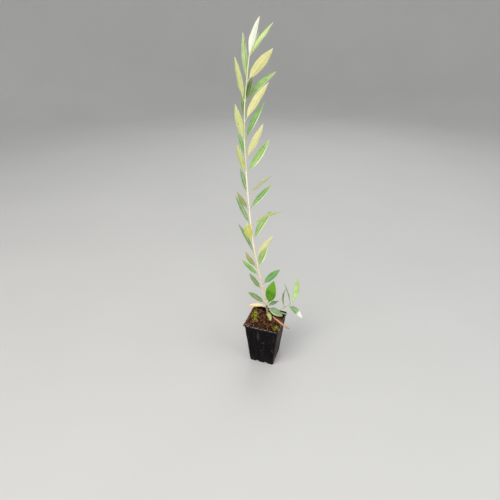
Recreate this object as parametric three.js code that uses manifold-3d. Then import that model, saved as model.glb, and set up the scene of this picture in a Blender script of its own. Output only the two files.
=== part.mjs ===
// Young olive tree in a square nursery pot.
//
// Frame: millimetres, +Z up. The origin is the centre of the pot's flat underside, and the pot's
// sides lie along X and Y. The plant's front is the view from azimuth FRONT_AZIMUTH, measured
// from -Y towards +X.
//
// The tree is one slender stem that leans a little to the left and carries opposite pairs of
// leaves, each pair a quarter turn from the last. Every pair is one solid: two leaves that are
// fused to a slim collar, the node, which goes round the stem with a small gap.

import * as THREE from "three";
import { mergeVertices } from "three/addons/utils/BufferGeometryUtils.js";
import Module from "manifold-3d";

const wasm = await Module();
wasm.setup();

// Driving sizes in millimetres and degrees

const GAP = 0.3;
const WELD_DISTANCE = 1e-4;
const FRONT_AZIMUTH = 19;

const POT = {
  height: 99,
  rimSide: 72,
  footSide: 51,
  wall: 1.2,
  floor: 1.8,
  lipReach: 1,
  lipHeight: 3,
  cornerRadius: 4,
  notchWidth: 7,
  notchHeight: 3.5,
  notchDepth: 4,
  notchOffset: 9,
  holeRadius: 2.5,
  holeOffset: 13,
  holeSides: 12,
  cornerSteps: 4,
};

const COMPOST_TOP = 91;

const STEM = {
  footX: -1.9,
  footY: 19.1,
  footRadius: 2.1,
  tipRadius: 0.8,
  flareReach: 1.2,
  flareHeight: 7,
  nodeSwell: 0.2,
  nodeSpread: 2.5,
  height: 488,
  sides: 12,
  samples: 300,
};

// The heights at which the flare of the stem's foot is drawn.
const FLARE_STATIONS = [0, 2, 5, 9, 14, 20, 25, 30];

// Where the stem's centre line goes: its height above the compost, and how far it has moved to
// the right and to the back, as seen from the front.
const STEM_LINE = [
  { height: 0, right: 0, back: 0 },
  { height: 36, right: -4, back: 1 },
  { height: 76, right: -13, back: 2 },
  { height: 122, right: -22, back: 0 },
  { height: 184, right: -32, back: -3 },
  { height: 275, right: -41, back: -2 },
  { height: 368, right: -46, back: 2 },
  { height: 430, right: -45, back: 1 },
  { height: STEM.height, right: -39, back: -1 },
];

const COLLAR = { wall: 1, height: 4 };

const LEAF = {
  sides: 8,
  rings: 9,
  petioleShare: 0.09,
  petioleRadius: 0.6,
  tipRadius: 0.2,
  thickness: 0.9,
  channel: 0.16,
  fullness: 0.85,
  rootDepth: 0.65,
  bow: 4,
};

// The leaf pairs from the lowest up. A pair's near leaf grows towards the front and its far leaf
// towards the back. The near leaf is on the right in the first pair and changes side from one
// pair to the next. A leaf's turn is how far it swings out of the plane that faces the front, its
// rise is its slope above level, its bow is how far it bends down from root to tip, and its roll
// is how far its upper side is turned to the back.
const LEAF_PAIRS = [
  {
    height: 36,
    near: { length: 55, width: 20, rise: 78, turn: 13, roll: -67, bow: -12 },
    far: { length: 37, width: 12, rise: 31, turn: 11, roll: -20 },
  },
  {
    height: 76,
    near: { length: 38, width: 9, rise: 50, turn: 4, roll: -45, bow: -15 },
    far: { length: 45, width: 14, rise: 36, turn: 28, roll: -27 },
  },
  {
    height: 103,
    far: { length: 42, width: 10, rise: 34, turn: 26, roll: -22, bow: 14 },
  },
  {
    height: 122,
    near: { length: 51, width: 9, rise: 60, turn: 35, roll: 50, bow: -22 },
    far: { length: 40, width: 12, rise: 54, turn: 47, bow: 6 },
  },
  {
    height: 151,
    near: { length: 61, width: 11, rise: 57, turn: 29, roll: 54, bow: -12 },
    far: { length: 69, width: 8, rise: 44, turn: 50, roll: -12, bow: 8 },
  },
  {
    height: 184,
    near: { length: 41, width: 16, rise: 78, turn: 45, roll: 50, bow: -10 },
    far: { length: 65, width: 14, rise: 41, turn: 46, roll: -14, bow: 18 },
  },
  {
    height: 214,
    near: { length: 65, width: 9, rise: 33, turn: 17, roll: 54, bow: 30 },
    far: { length: 62, width: 9, rise: 49, turn: 48, roll: -25 },
  },
  {
    height: 247,
    near: { length: 47, width: 8, rise: 58, turn: 41, roll: 38, bow: -4 },
    far: { length: 60, width: 11, rise: 35, turn: 36, roll: -31, bow: 9 },
  },
  {
    height: 275,
    near: { length: 60, width: 7, rise: 44, turn: 20, roll: 49, bow: 6 },
    far: { length: 49, width: 8, rise: 53, turn: 65, roll: -9 },
  },
  {
    height: 313,
    near: { length: 57, width: 12, rise: 73, turn: 36, roll: 19, bow: -12 },
    far: { length: 68, width: 13, rise: 48, turn: 34, roll: -40, bow: -4 },
  },
  {
    height: 339,
    near: { length: 66, width: 13, rise: 63, turn: 27, roll: 49, bow: -9 },
    far: { length: 50, width: 8, rise: 43, turn: 70, roll: 16, bow: 13 },
  },
  {
    height: 368,
    near: { length: 62, width: 12, rise: 73, turn: 46, roll: 30, bow: -2 },
    far: { length: 70, width: 11, rise: 51, turn: 45, roll: -19, bow: 16 },
  },
  {
    height: 400,
    near: { length: 70, width: 15, rise: 57, turn: 23, roll: 36, bow: 8 },
    far: { length: 47, width: 7, rise: 70, turn: 75, roll: 20 },
  },
  {
    height: 430,
    near: { length: 65, width: 12, rise: 76, turn: 35, roll: 14, bow: -10 },
    far: { length: 67, width: 11, rise: 36, turn: 28, roll: -28, bow: 14 },
    young: { length: 37, width: 10, rise: 72, side: 1, turn: 25, roll: -12 },
  },
  {
    height: 459,
    near: { length: 66, width: 15, rise: 44, turn: 41, roll: 50 },
    far: { length: 71, width: 10, rise: 66, turn: 79, roll: -30 },
  },
];

// The leaves of the stem's tip, which stand on a short end of twig.
const TIP_TWIG = { length: 7, baseRadius: 0.9, endRadius: 0.5 };
const TIP_LEAVES = [
  { length: 59, width: 11, rise: 62, side: 1, turn: -58, bow: 16 },
  { length: 61, width: 10, rise: 47, side: 1, turn: 31, roll: -11 },
  { length: 35, width: 6, rise: 66, side: 1, turn: -6, roll: 25 },
  { length: 20, width: 3, rise: 80, side: 1, turn: 70 },
];

// The small leaves low on the stem, which share one long collar.
const BASAL_COLLAR = { height: 18, length: 13 };
const BASAL_LEAVES = [
  { height: 6, length: 28, width: 9, rise: 2, side: 1, turn: 34, roll: -12, bow: 16 },
  { height: 5, length: 35, width: 15, rise: -24, side: 1, turn: -21, roll: -35, bow: -4 },
  { height: -2, length: 42, width: 9, rise: -8, side: 1, turn: -11, roll: 12, bow: -8 },
  { height: -5.5, length: 20, width: 9, rise: -32, side: 1, turn: -70, roll: 12, bow: 41 },
];
const DEAD_LEAF = {
  height: 26.4,
  length: 38,
  width: 10,
  rise: 1,
  side: -1,
  turn: -1,
  roll: -24,
  bow: 6,
};

// The thin shoot from low on the stem that reaches over the right rim, and the leaves at its end.
const SIDE_SHOOT = {
  startHeight: 8,
  endHeight: 18,
  length: 36,
  turn: 8,
  sag: 3,
  baseRadius: 1.4,
  endRadius: 0.9,
  rings: 8,
};
const SHOOT_TWIG = { length: 16, radius: 1.1 };
const TWIG_RINGS = 2;
const SHOOT_LEAVES = [
  { along: 0.95, length: 65, width: 11, rise: 82, side: 1, turn: 25, roll: -44, bow: -55 },
  { along: 0.05, length: 50, width: 6, rise: 93, side: -1, turn: 34, roll: -15, bow: -65 },
  { along: 0.9, length: 54, width: 4, rise: 73, side: -1, turn: 12, roll: -18, bow: 15 },
  { along: 0.5, length: 41, width: 13, rise: -36, side: 1, turn: -23, roll: -19, bow: 37 },
];

// The dry twig that lies on the compost and over the right rim.
const DRY_TWIG = {
  startX: 9,
  startY: 18,
  endX: 53,
  endY: -26,
  startRadius: 1.6,
  endRadius: 2.1,
  rings: 6,
};

const FINISHES = {
  pot: { color: 0x141416, roughness: 0.6, metalness: 0 },
  compost: { color: 0x3c2418, roughness: 1, metalness: 0 },
  bark: { color: 0xd9c48f, roughness: 0.7, metalness: 0 },
  leaf: { color: 0x8fbf5a, roughness: 0.5, metalness: 0 },
  dryLeaf: { color: 0xe6c98a, roughness: 0.8, metalness: 0 },
  dryTwig: { color: 0xb98a62, roughness: 0.9, metalness: 0 },
};

// Directions as seen from the front

const UP = new THREE.Vector3(0, 0, 1);
const radians = THREE.MathUtils.degToRad;

// The level direction that points this many degrees to the left of +X.
function levelDirection(degrees) {
  return new THREE.Vector3(Math.cos(radians(degrees)), Math.sin(radians(degrees)), 0);
}

const TO_RIGHT = levelDirection(FRONT_AZIMUTH);
const TO_BACK = levelDirection(FRONT_AZIMUTH + 90);

// The bearing of a leaf on the given side, 1 for right and -1 for left, that swings to the back
// by its turn.
function bearingOf(side, turn) {
  return FRONT_AZIMUTH + (side > 0 ? turn : 180 - turn);
}

// Solids and meshes

// Welds a geometry's shared corners, so that only closed faces are left.
function weld(geometry) {
  const bare = geometry.clone();
  bare.deleteAttribute("normal");
  bare.deleteAttribute("uv");
  return mergeVertices(bare, WELD_DISTANCE);
}

function toSolid(geometry) {
  const welded = weld(geometry);
  const vertProperties = new Float32Array(welded.attributes.position.array);
  const triVerts = new Uint32Array(welded.index.array);
  return new wasm.Manifold(new wasm.Mesh({ numProp: 3, vertProperties, triVerts }));
}

function toGeometry(solid) {
  const mesh = solid.getMesh();
  const geometry = new THREE.BufferGeometry();
  geometry.setAttribute("position", new THREE.BufferAttribute(mesh.vertProperties, 3));
  geometry.setIndex(new THREE.BufferAttribute(mesh.triVerts, 1));
  return geometry;
}

// Joins several closed geometries into one.
function fuse(geometries) {
  return toGeometry(geometries.map(toSolid).reduce((whole, next) => whole.add(next)));
}

function named(name, geometry, finish) {
  geometry.computeVertexNormals();
  const mesh = new THREE.Mesh(geometry, new THREE.MeshStandardMaterial(finish));
  mesh.name = name;
  return mesh;
}

// Moves each vertex of a geometry to the place that a function gives for it.
function reshape(geometry, place) {
  const position = geometry.attributes.position;
  const point = new THREE.Vector3();
  for (let i = 0; i < position.count; i += 1) {
    point.fromBufferAttribute(position, i);
    place(point);
    position.setXYZ(i, point.x, point.y, point.z);
  }
  return geometry;
}

// A closed limb or leaf: a unit cylinder whose rings are laid along a curve. section gives, for
// the way along from 0 to 1, the centre, the two directions across and the half sizes there.
function loft(sides, rings, section) {
  const cylinder = new THREE.CylinderGeometry(1, 1, 1, sides, rings);
  return reshape(cylinder, (point) => {
    const at = section(point.y + 0.5);
    const across = point.x * at.halfWidth;
    const lift = point.z * at.halfDepth + Math.abs(across) * (at.channel ?? 0);
    point.copy(at.centre).addScaledVector(at.across, across).addScaledVector(at.normal, lift);
  });
}

// Pot

// A square with round corners, centred on the origin.
function roundedSquare(side, radius) {
  const half = side / 2;
  const inner = half - radius;
  const shape = new THREE.Shape();
  shape.moveTo(-inner, -half);
  shape.lineTo(inner, -half);
  shape.absarc(inner, -inner, radius, -Math.PI / 2, 0);
  shape.lineTo(half, inner);
  shape.absarc(inner, inner, radius, 0, Math.PI / 2);
  shape.lineTo(-inner, half);
  shape.absarc(-inner, inner, radius, Math.PI / 2, Math.PI);
  shape.lineTo(-half, -inner);
  shape.absarc(-inner, -inner, radius, Math.PI, Math.PI * 1.5);
  return shape;
}

// A block with round corners that widens evenly from its lower side to its upper side.
function taperedBlock(lowerSide, upperSide, lowerZ, upperZ) {
  const outline = roundedSquare(upperSide, POT.cornerRadius);
  const depth = upperZ - lowerZ;
  const settings = { depth, bevelEnabled: false, curveSegments: POT.cornerSteps, steps: 1 };
  const block = new THREE.ExtrudeGeometry(outline, settings);
  return reshape(block, (point) => {
    const scale = THREE.MathUtils.lerp(lowerSide / upperSide, 1, point.z / depth);
    point.set(point.x * scale, point.y * scale, point.z + lowerZ);
  });
}

// The pot's outer side at a height, below the lip.
function potSide(z) {
  return THREE.MathUtils.lerp(POT.footSide, POT.rimSide - 2 * POT.lipReach, z / POT.height);
}

// The space inside the pot, shrunk by a margin on every wall, between two heights.
function potInside(margin, lowerZ, upperZ) {
  const inset = 2 * (POT.wall + margin);
  return taperedBlock(potSide(lowerZ) - inset, potSide(upperZ) - inset, lowerZ, upperZ);
}

// The small cuts in the lower edge that leave the pot standing on low feet.
function potNotches() {
  const notches = [];
  const reach = POT.footSide / 2;
  for (let quarter = 0; quarter < 4; quarter += 1) {
    for (const offset of [-POT.notchOffset, POT.notchOffset]) {
      const notch = new THREE.BoxGeometry(2 * POT.notchDepth, POT.notchWidth, 2 * POT.notchHeight);
      notch.translate(reach, offset, 0);
      notch.rotateZ((quarter * Math.PI) / 2);
      notches.push(notch);
    }
  }
  return notches;
}

// The round drain holes in the floor.
function potHoles() {
  const holes = [];
  for (const x of [-POT.holeOffset, POT.holeOffset]) {
    for (const y of [-POT.holeOffset, POT.holeOffset]) {
      const radius = POT.holeRadius;
      const hole = new THREE.CylinderGeometry(radius, radius, 4 * POT.floor, POT.holeSides);
      hole.rotateX(Math.PI / 2);
      hole.translate(x, y, 0);
      holes.push(hole);
    }
  }
  return holes;
}

function buildPot() {
  const body = taperedBlock(POT.footSide, potSide(POT.height), 0, POT.height);
  const lip = taperedBlock(POT.rimSide, POT.rimSide, POT.height - POT.lipHeight, POT.height);
  const inside = potInside(0, POT.floor, POT.height + POT.lipHeight);
  const cuts = [inside, ...potNotches(), ...potHoles()].map(toSolid);
  const shell = cuts.reduce((rest, cut) => rest.subtract(cut), toSolid(body).add(toSolid(lip)));
  return named("pot", toGeometry(shell), FINISHES.pot);
}

function buildCompost() {
  const block = potInside(GAP, POT.floor + GAP, COMPOST_TOP);
  return named("compost", weld(block), FINISHES.compost);
}

// Stem

const STEM_CURVE = new THREE.CatmullRomCurve3(
  STEM_LINE.map(({ height, right, back }) =>
    new THREE.Vector3(STEM.footX, STEM.footY, COMPOST_TOP + height)
      .addScaledVector(TO_RIGHT, right)
      .addScaledVector(TO_BACK, back),
  ),
);
const STEM_SAMPLES = STEM_CURVE.getPoints(STEM.samples);

// The point of the stem's centre line at a height above the compost.
function stemAt(height) {
  const z = COMPOST_TOP + height;
  const below = STEM_SAMPLES.findLastIndex((sample) => sample.z <= z);
  const lower = THREE.MathUtils.clamp(below, 0, STEM_SAMPLES.length - 2);
  const low = STEM_SAMPLES[lower];
  const high = STEM_SAMPLES[lower + 1];
  return new THREE.Vector3().lerpVectors(low, high, (z - low.z) / (high.z - low.z));
}

const NODE_HEIGHTS = LEAF_PAIRS.map((pair) => pair.height);

// The stem's radius at a height: an even taper, the flare at its foot and a swelling at each node.
function stemRadius(height) {
  const taper = THREE.MathUtils.lerp(STEM.footRadius, STEM.tipRadius, height / STEM.height);
  const flare = STEM.flareReach * Math.exp(-height / STEM.flareHeight);
  const swell = NODE_HEIGHTS.map((node) => Math.exp(-(((height - node) / STEM.nodeSpread) ** 2)));
  return taper + flare + STEM.nodeSwell * Math.max(...swell);
}

// Turns an outline of radius and height about the stem's centre line, following its lean.
function turnAboutStem(outline) {
  const lathe = new THREE.LatheGeometry(outline, STEM.sides);
  lathe.rotateX(Math.PI / 2);
  return reshape(lathe, (point) => {
    const height = point.z;
    const axis = stemAt(height);
    point.set(point.x + axis.x, point.y + axis.y, COMPOST_TOP + height);
  });
}

function buildStem() {
  const reach = COLLAR.height / 2;
  const atNodes = NODE_HEIGHTS.flatMap((node) => [node - reach, node, node + reach]);
  const betweenNodes = NODE_HEIGHTS.slice(1).map((node, i) => (node + NODE_HEIGHTS[i]) / 2);
  const atFoot = FLARE_STATIONS.map((height) => height + GAP);
  const stations = [...atFoot, ...atNodes, ...betweenNodes, STEM.height].sort((a, b) => a - b);
  const outline = stations.map((height) => new THREE.Vector2(stemRadius(height), height));
  const ends = [new THREE.Vector2(0, GAP), new THREE.Vector2(0, STEM.height)];
  return named("stem", weld(turnAboutStem([ends[0], ...outline, ends[1]])), FINISHES.bark);
}

// Leaves

// The collar round the stem, a small gap away from it, that carries leaves.
function collar(height, length) {
  const low = height - length / 2;
  const high = height + length / 2;
  const inner = Math.max(stemRadius(low), stemRadius(height), stemRadius(high)) + GAP;
  const outline = [
    new THREE.Vector2(inner, low),
    new THREE.Vector2(inner + COLLAR.wall, low),
    new THREE.Vector2(inner + COLLAR.wall, high),
    new THREE.Vector2(inner, high),
    new THREE.Vector2(inner, height),
    new THREE.Vector2(inner, low),
  ];
  return turnAboutStem(outline);
}

// Half of the blade's width for the way along the leaf: a slim petiole, then a lance shape.
function leafHalfWidth(along, width) {
  const blade = THREE.MathUtils.clamp((along - LEAF.petioleShare) / (1 - LEAF.petioleShare), 0, 1);
  const lance = (width / 2) * Math.sin(Math.PI * blade ** LEAF.fullness) ** LEAF.fullness;
  return Math.max(lance, THREE.MathUtils.lerp(LEAF.petioleRadius, LEAF.tipRadius, along));
}

// One leaf that grows from a root point on the given side, 1 for right and -1 for left. Its chord
// has the leaf's length and rise.
function leafBlade(root, side, leaf) {
  const { length, width, rise, turn, roll = 0, bow = LEAF.bow } = leaf;
  const outward = levelDirection(bearingOf(side, turn));
  const across = new THREE.Vector3().crossVectors(outward, UP);
  const bend = radians(bow);
  const firstSlope = radians(rise) + bend / 2;
  const arcLength = (length * bend) / 2 / Math.sin(bend / 2);
  return loft(LEAF.sides, LEAF.rings, (along) => {
    const slope = firstSlope - bend * along;
    const run = (arcLength * (Math.sin(firstSlope) - Math.sin(slope))) / bend;
    const climb = (arcLength * (Math.cos(slope) - Math.cos(firstSlope))) / bend;
    const direction = outward.clone().multiplyScalar(Math.cos(slope));
    direction.addScaledVector(UP, Math.sin(slope));
    const flat = THREE.MathUtils.smoothstep(along, 0, 2 * LEAF.petioleShare);
    const turned = across.clone().applyAxisAngle(direction, -radians(roll) * side * flat);
    const halfWidth = leafHalfWidth(along, width);
    const halfDepth = THREE.MathUtils.lerp(LEAF.petioleRadius, LEAF.thickness / 2, flat);
    return {
      centre: root.clone().addScaledVector(outward, run).addScaledVector(UP, climb),
      across: turned,
      normal: new THREE.Vector3().crossVectors(turned, direction),
      halfWidth,
      halfDepth: Math.min(halfDepth, Math.max(halfWidth, LEAF.tipRadius)),
      channel: LEAF.channel * flat,
    };
  });
}

// A leaf that starts at a distance from the stem's centre line.
function leafOnStem(height, distance, side, leaf) {
  const direction = levelDirection(bearingOf(side, leaf.turn));
  return leafBlade(stemAt(height).addScaledVector(direction, distance), side, leaf);
}

function buildLeafPair(pair, index) {
  const nearSide = index % 2 === 0 ? 1 : -1;
  const distance = stemRadius(pair.height) + GAP + LEAF.rootDepth;
  const parts = [collar(pair.height, COLLAR.height)];
  if (pair.near) {
    const near = { ...pair.near, turn: -pair.near.turn };
    parts.push(leafOnStem(pair.height, distance, nearSide, near));
  }
  if (pair.far) {
    parts.push(leafOnStem(pair.height, distance, -nearSide, pair.far));
  }
  if (pair.young) {
    parts.push(leafOnStem(pair.height, distance, pair.young.side, pair.young));
  }
  const name = `leaf_pair_${String(index + 1).padStart(2, "0")}`;
  return named(name, fuse(parts), FINISHES.leaf);
}

// The twig at the stem's tip and its leaves.
function buildTipLeaves() {
  const top = stemAt(STEM.height);
  const lean = top.clone().sub(stemAt(STEM.height - TIP_TWIG.length)).normalize();
  const foot = top.addScaledVector(UP, GAP);
  const twig = loft(LEAF.sides, TWIG_RINGS, (along) => ({
    centre: foot.clone().addScaledVector(lean, along * TIP_TWIG.length),
    across: TO_RIGHT,
    normal: TO_BACK.clone().negate(),
    halfWidth: THREE.MathUtils.lerp(TIP_TWIG.baseRadius, TIP_TWIG.endRadius, along),
    halfDepth: THREE.MathUtils.lerp(TIP_TWIG.baseRadius, TIP_TWIG.endRadius, along),
  }));
  const root = foot.clone().addScaledVector(lean, TIP_TWIG.length / 2);
  const leaves = TIP_LEAVES.map((leaf) => leafBlade(root, leaf.side, leaf));
  return named("tip_leaves", fuse([twig, ...leaves]), FINISHES.leaf);
}

function buildBasalLeaves() {
  const { height, length } = BASAL_COLLAR;
  const ring = collar(height, length);
  const distance = stemRadius(height - length / 2) + GAP + LEAF.rootDepth;
  const leaves = BASAL_LEAVES.map((leaf) =>
    leafOnStem(height + leaf.height, distance, leaf.side, leaf),
  );
  return named("basal_leaves", fuse([ring, ...leaves]), FINISHES.leaf);
}

// The dead leaf, whose root stops a small gap short of the stem.
function buildDeadLeaf() {
  const distance = stemRadius(DEAD_LEAF.height) + GAP;
  const blade = leafOnStem(DEAD_LEAF.height, distance, DEAD_LEAF.side, DEAD_LEAF);
  return named("dead_leaf", weld(blade), FINISHES.dryLeaf);
}

// Side shoot

const SHOOT_OUTWARD = levelDirection(bearingOf(1, SIDE_SHOOT.turn));
const SHOOT_ACROSS = new THREE.Vector3().crossVectors(SHOOT_OUTWARD, UP);

// The shoot's line: level from the stem, then rising to its end.
function shootPoint(along) {
  const root = stemAt(SIDE_SHOOT.startHeight);
  const start = stemRadius(SIDE_SHOOT.startHeight) + GAP + SIDE_SHOOT.baseRadius / 2;
  const climb = SIDE_SHOOT.endHeight - SIDE_SHOOT.startHeight;
  const sag = SIDE_SHOOT.sag * Math.sin(Math.PI * along);
  const out = start + (SIDE_SHOOT.length - start) * along;
  return root.addScaledVector(SHOOT_OUTWARD, out).addScaledVector(UP, climb * along - sag);
}

// The shoot's direction at a way along it.
function shootDirection(along) {
  const step = 1 / SIDE_SHOOT.rings;
  return shootPoint(along + step).sub(shootPoint(along - step)).normalize();
}

function buildSideShoot() {
  const limb = loft(LEAF.sides, SIDE_SHOOT.rings, (along) => {
    const direction = shootDirection(along);
    const radius = THREE.MathUtils.lerp(SIDE_SHOOT.baseRadius, SIDE_SHOOT.endRadius, along);
    return {
      centre: shootPoint(along),
      across: SHOOT_ACROSS,
      normal: new THREE.Vector3().crossVectors(SHOOT_ACROSS, direction),
      halfWidth: radius,
      halfDepth: radius,
    };
  });
  return named("side_shoot", weld(limb), FINISHES.bark);
}

function buildShootLeaves() {
  const direction = shootDirection(1);
  const start = shootPoint(1).addScaledVector(direction, GAP);
  const twig = loft(LEAF.sides, TWIG_RINGS, (along) => ({
    centre: start.clone().addScaledVector(direction, along * SHOOT_TWIG.length),
    across: SHOOT_ACROSS,
    normal: new THREE.Vector3().crossVectors(SHOOT_ACROSS, direction),
    halfWidth: SHOOT_TWIG.radius,
    halfDepth: SHOOT_TWIG.radius,
  }));
  const leaves = SHOOT_LEAVES.map((leaf) => {
    const root = start.clone().addScaledVector(direction, leaf.along * SHOOT_TWIG.length);
    return leafBlade(root, leaf.side, leaf);
  });
  return named("side_shoot_leaves", fuse([twig, ...leaves]), FINISHES.leaf);
}

// Dry twig

// A bare twig from the compost to past the rim, a small gap above both.
function buildDryTwig() {
  const { startRadius, endRadius } = DRY_TWIG;
  const start = new THREE.Vector3(DRY_TWIG.startX, DRY_TWIG.startY, COMPOST_TOP + GAP + startRadius);
  const end = new THREE.Vector3(DRY_TWIG.endX, DRY_TWIG.endY, 0);
  const rim = POT.rimSide / 2;
  const rimShare = (rim - POT.lipReach - POT.wall - start.x) / (end.x - start.x);
  const rimZ = POT.height + 2 * GAP + endRadius;
  end.z = start.z + (rimZ - start.z) / rimShare;
  const direction = end.clone().sub(start).normalize();
  const across = new THREE.Vector3().crossVectors(direction, UP).normalize();
  const twig = loft(LEAF.sides, DRY_TWIG.rings, (along) => {
    const radius = THREE.MathUtils.lerp(startRadius, endRadius, along);
    return {
      centre: new THREE.Vector3().lerpVectors(start, end, along),
      across,
      normal: new THREE.Vector3().crossVectors(across, direction),
      halfWidth: radius,
      halfDepth: radius,
    };
  });
  return named("dry_twig", weld(twig), FINISHES.dryTwig);
}

// Assembly

const group = new THREE.Group();
group.name = "potted_olive_tree";
group.add(
  buildPot(),
  buildCompost(),
  buildStem(),
  ...LEAF_PAIRS.map(buildLeafPair),
  buildTipLeaves(),
  buildBasalLeaves(),
  buildDeadLeaf(),
  buildSideShoot(),
  buildShootLeaves(),
  buildDryTwig(),
);

export default group;
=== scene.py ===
"""Young olive tree in a square nursery pot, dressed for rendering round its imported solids.

Sizes are in millimetres and degrees until a mesh is made, which is in metres. The frame is that
of the solids: +Z up, with the origin at the centre of the pot's flat underside, and the plant's
front seen from FRONT degrees round from -Y towards +X.
"""

from __future__ import annotations

import logging
import random
from dataclasses import dataclass, field, replace
from enum import Enum, IntEnum
from math import atan2, cos, dist, exp, hypot, pi, radians, sin, sqrt
from typing import Callable, Iterable, Sequence

import bpy
import numpy as np
from bpy.types import ID, Material, Mesh, Node, NodeOutputs, NodeSocket, NodeTree, Object
from mathutils import Matrix, Vector, noise

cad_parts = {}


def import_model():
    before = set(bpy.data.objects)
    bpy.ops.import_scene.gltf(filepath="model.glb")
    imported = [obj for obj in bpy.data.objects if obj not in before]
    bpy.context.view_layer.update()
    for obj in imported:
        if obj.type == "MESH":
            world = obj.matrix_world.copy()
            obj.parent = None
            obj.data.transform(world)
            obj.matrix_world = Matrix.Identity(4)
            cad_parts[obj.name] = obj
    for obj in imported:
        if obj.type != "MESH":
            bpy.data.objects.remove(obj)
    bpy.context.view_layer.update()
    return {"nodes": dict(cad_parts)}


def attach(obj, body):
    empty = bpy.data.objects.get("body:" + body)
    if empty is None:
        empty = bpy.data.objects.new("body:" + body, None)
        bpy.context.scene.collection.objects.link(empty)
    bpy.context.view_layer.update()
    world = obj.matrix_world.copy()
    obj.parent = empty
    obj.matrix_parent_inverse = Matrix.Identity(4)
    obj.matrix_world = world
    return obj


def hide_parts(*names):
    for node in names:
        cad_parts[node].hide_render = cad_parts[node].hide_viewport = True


log = logging.getLogger("olive")

MM = 0.001
FRONT = radians(19.0)
COMPOST_TOP = 91.0
GAP = 0.3
ROOT_DEPTH = 0.65
BODY = "root"

UP = np.array((0.0, 0.0, 1.0))
TO_RIGHT = np.array((cos(FRONT), sin(FRONT), 0.0))
TO_BACK = np.array((-sin(FRONT), cos(FRONT), 0.0))

Array = np.ndarray
Triple = tuple[float, float, float]
Colour = Triple
Socket = NodeSocket
Feed = Socket | float | tuple


def paint(red: int, green: int, blue: int) -> tuple[float, float, float, float]:
    """Turns a colour as seen on a screen into linear values.

    Args:
        red, green, blue: The colour's parts, each from 0 to 255.

    Returns:
        The linear colour with full opacity.
    """
    linear = (((value / 255 + 0.055) / 1.055) ** 2.4 for value in (red, green, blue))
    return (*linear, 1.0)


def toned(colour: Colour, share: float, towards: Colour = (0, 0, 0)) -> Colour:
    """Returns the colour taken by a share towards another."""
    return tuple(value + (goal - value) * share for value, goal in zip(colour, towards))


def unit(vector: Array) -> Array:
    """Returns the vector at length 1."""
    return vector / np.linalg.norm(vector)


def level(angle: float) -> Array:
    """Returns the level direction at an angle in radians to the left of +X."""
    return np.array((cos(angle), sin(angle), 0.0))


def smooth(value: float, low: float, high: float) -> float:
    """Returns 0 below low, 1 above high, and a soft step between them."""
    share = min(max((value - low) / (high - low), 0.0), 1.0)
    return share * share * (3 - 2 * share)


def round_turns(count: int) -> Array:
    """Returns so many angles all the way round."""
    return np.linspace(0, 2 * pi, count, endpoint=False)


def bell(value: float, spread: float) -> float:
    """Returns 1 at 0, and less to both sides the further a value is from it."""
    return exp(-((value / spread) ** 2))


def turned(vector: Array, axis: Array, angle: float) -> Array:
    """Returns the vector turned about a unit axis by an angle in radians."""
    ahead, aside = cos(angle), sin(angle)
    return vector * ahead + np.cross(axis, vector) * aside + axis * (axis @ vector) * (1 - ahead)


def relief(point: Sequence[float], size: float, octaves: int = 4) -> float:
    """Returns smooth chance relief between about -1 and 1.

    Args:
        point: Where in space, in millimetres.
        size: The size of the largest lumps in millimetres.
        octaves: How many finer layers it has.

    Returns:
        The relief there.
    """
    return noise.fractal(Vector(point) / size, 1.0, 2.0, octaves)


# Meshes


class Mark(IntEnum):
    """What a point tells the finishes, by its column in the marks.

    ALONG is the way from root to tip, RIB is 1 on a midrib or a node, RIM is 1 on a margin, SHADE
    lightens or darkens the colour, mostly by chance but as painted shade on the peat bed and low on
    the moss, and SIDE and FACE are the place across in millimetres, for the fibres that run along it.
    """

    ALONG, RIB, RIM, SHADE, SIDE, FACE = range(6)

    @property
    def label(self) -> str:
        """Returns the name that a mesh has for it."""
        return self.name.lower()


def marked(along: float = 0.0, rib: float = 0.0, rim: float = 0.0, shade: float = 0.0,
           side: float = 0.0, face: float = 0.0) -> tuple[float, ...]:
    """Returns the marks of one point."""
    return along, rib, rim, shade, side, face


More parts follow.
